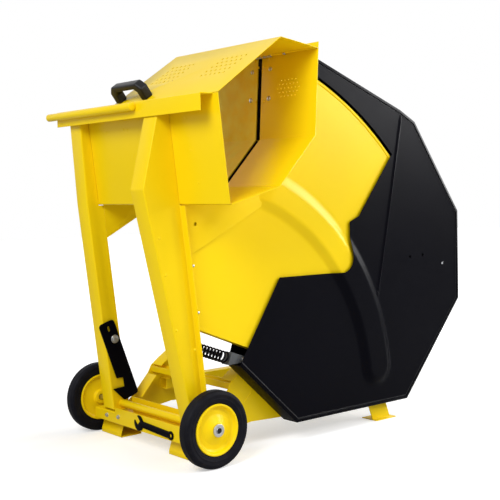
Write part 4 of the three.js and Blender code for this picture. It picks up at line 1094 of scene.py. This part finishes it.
def latch():
    """The transport latch: a flat hook with rounded corners and a long hole, on a bolt with a washer."""
    corners = [(-92, 412), (-31, 431), (67, 155), (8, 135), (-38, 180), (9, 184), (4, 218), (-23, 217.5)]
    outline = rounded(corners, [12, 12, 11, 9, 1.5, 1.5, 1.5, 2], 6)
    holes = [slot_ring((-52, 403), (-49, 391), 4.2), round_hole(-27, 359, 5.6)]
    surface = pressed_sheet(outline, holes, np.zeros((0, 2)), flat_height, 557.0, 4.0)
    broken_edges(stand_in("latch_plate", surface, "latch_hook", 30))
    low, high = span_of("latch_bolt")
    washer = [(0, 556.7), (15, 556.7), (15, 555.9), (14.4, 555.3), (0, 555.3)]
    shank = [(0, 555.5), (5, 555.5), (5, 561.4), (9, 561.4), (9, high), (0, high)]
    head = hex_head(LATCH_PIVOT + 555.4 * ALONG, -ALONG, 17, 555.2 - low)
    parts = gathered(turned(washer, LATCH_PIVOT, ALONG, 40), turned(shank, LATCH_PIVOT, ALONG, 32), head)
    stand_in("latch_pivot", parts, "latch_bolt", 30)


def base_frame():
    """The fixed frame's sheets, with the latch and the spring's bracket."""
    for node in ("front_beam", "front_foot_near", "front_foot_far", "cross_member", "far_rail",
                 "rear_crossbar", "rear_foot_near", "rear_foot_far"):
        worked(node, fold=3.5)
    for node in ("axle_cheek_near", "axle_cheek_far", "side_web_near", "side_web_far", "spanner"):
        worked(node, fold=1.0)
    worked("spring_bracket", fold=3.0, edge=0.8)
    latch()
    worked("bracket_bolt", fold=0.6, edge=0.4)


def small_details():
    """Lumps on the near leg, marks on the front wall, the bolts in the beam's front face and a lap weld."""
    leg_face = span_of("leg_near")[0]
    lumps = [dome_head((x, leg_face, z), -ALONG, 4.5, 2.6)
             for x, z in ((-167.5, 737), (-148.7, 622), (-112.4, 448), (-44.9, 380))]
    piece("leg_lumps", gathered(*lumps), "cradle", "yellow_paint")
    wall_x, wall_z = FRONT_WALL_FOOT
    marks = [(349, 1084), (325, 1082), (456, 1080), (441, 995), (311, 993), (-4, 1099), (-11, 1002)]
    spots = [dome_head((wall_x - FRONT_WALL_LEAN * (z - wall_z), y, z), unit([-323.0, 0.0, -38.0]), 4.0, 1.0)
             for y, z in marks + [(-32, 903)]]
    piece("wall_spot_marks", gathered(*spots), "cradle", "yellow_paint")
    bolts = [hex_head((-36, y, z), -ACROSS, 11, 5, 1.2) for y, z in ((608.4, 80.1), (532.6, 84.5))]
    piece("beam_bolts", gathered(*bolts), "frame", "zinc", 30)
    lap = weld_bead((259, 144.2, 191), (225, 144.2, 158.6), 1.6, ALONG, 8.0)
    piece("web_lap", lap, "frame", "yellow_paint", 60)


def build_object():
    for side in ("near", "far"):
        wheel(side)
    axle_and_washers()
    bars()
    return_spring()
    blade_parts()
    motor()
    switch_gear()
    guard()
    fans()
    trough()
    base_frame()
    small_details()


# Stage, lighting and camera

FLOOR_HALF = 14.0
FLOOR_DROP = 0.0005
LAMPS = {
    "key": ((-4.0, -1.9, 3.5), (-0.1, 0.0, 0.6), (2.2, 2.2), 162.0),
    "near_fill": ((1.0, -4.4, 3.4), (0.1, 0.0, 0.7), (2.4, 1.6), 61.0),
    "rim_light": ((2.9, -0.55, 1.75), (-0.1, -0.2, 0.85), (1.2, 1.7), 50.0),
    "side_softbox": ((4.1, -3.4, 2.1), (0.4, -0.2, 1.1), (1.4, 1.4), 110.0),
}
WORLD_SOFT = 0.36
LENS = 70.68
SENSOR = 36.0
CAMERA_RIGHT = (0.7702818, -0.6374299, -0.0186829)
CAMERA_UP = (0.0537255, 0.0356741, 0.9979183)
CAMERA_BACK = (-0.6354365, -0.7696821, 0.0617254)
CAMERA_PLACE = (-2.39416, -2.71263, 0.88065)


def stage():
    """A square floor just below the ground."""
    mesh = bpy.data.meshes.new("floor")
    square = ((-1, -1), (1, -1), (1, 1), (-1, 1))
    corners = [(x * FLOOR_HALF, y * FLOOR_HALF, -FLOOR_DROP) for x, y in square]
    mesh.from_pydata(corners, [], [(0, 1, 2, 3)])
    floor = bpy.data.objects.new("floor", mesh)
    mesh.materials.append(floor_finish())
    bpy.context.scene.collection.objects.link(floor)


def lamp(name, location, target, size, watts):
    """A rectangular lamp that faces its target."""
    data = bpy.data.lights.new(name, "AREA")
    data.shape = "RECTANGLE"
    data.size, data.size_y = size
    data.energy = watts
    light = bpy.data.objects.new(name, data)
    light.location = location
    light.rotation_mode = "QUATERNION"
    light.rotation_quaternion = (Vector(target) - Vector(location)).to_track_quat("-Z", "Y")
    bpy.context.scene.collection.objects.link(light)


def lighting():
    """The lamps, and a world that is white to camera, glossy and transmission rays, softer to the rest."""
    for name, settings in LAMPS.items():
        lamp(name, *settings)
    world = bpy.data.worlds.new("studio")
    world.use_nodes = True
    tree = Tree(world.node_tree)
    tree.nodes.clear()
    eye, glossy, through = [tree.node("ShaderNodeLightPath", output="Is " + kind + " Ray")
                            for kind in ("Camera", "Glossy", "Transmission")]
    seen = eye.maths("MAXIMUM", eye.maths("MAXIMUM", eye, glossy), through)
    soft, white = [tree.node("ShaderNodeBackground", None, {"Color": colour(1, 1, 1), "Strength": strength})
                   for strength in (WORLD_SOFT, 1.0)]
    shader = tree.node("ShaderNodeMixShader", None, {0: seen, 1: soft, 2: white})
    tree.node("ShaderNodeOutputWorld", None, {"Surface": shader})
    bpy.context.scene.world = world


def camera():
    """The photograph's view: the matrix's columns are right, up, backward and the camera's place."""
    data = bpy.data.cameras.new("camera")
    data.lens = LENS
    data.sensor_width = SENSOR
    made = bpy.data.objects.new("camera", data)
    rows = [list(values) for values in zip(CAMERA_RIGHT, CAMERA_UP, CAMERA_BACK, CAMERA_PLACE)]
    made.matrix_world = Matrix(rows + [[0, 0, 0, 1]])
    bpy.context.scene.collection.objects.link(made)
    bpy.context.scene.camera = made


camera()
stage()
lighting()
build_object()
bpy.context.scene.view_settings.view_transform = "Standard"
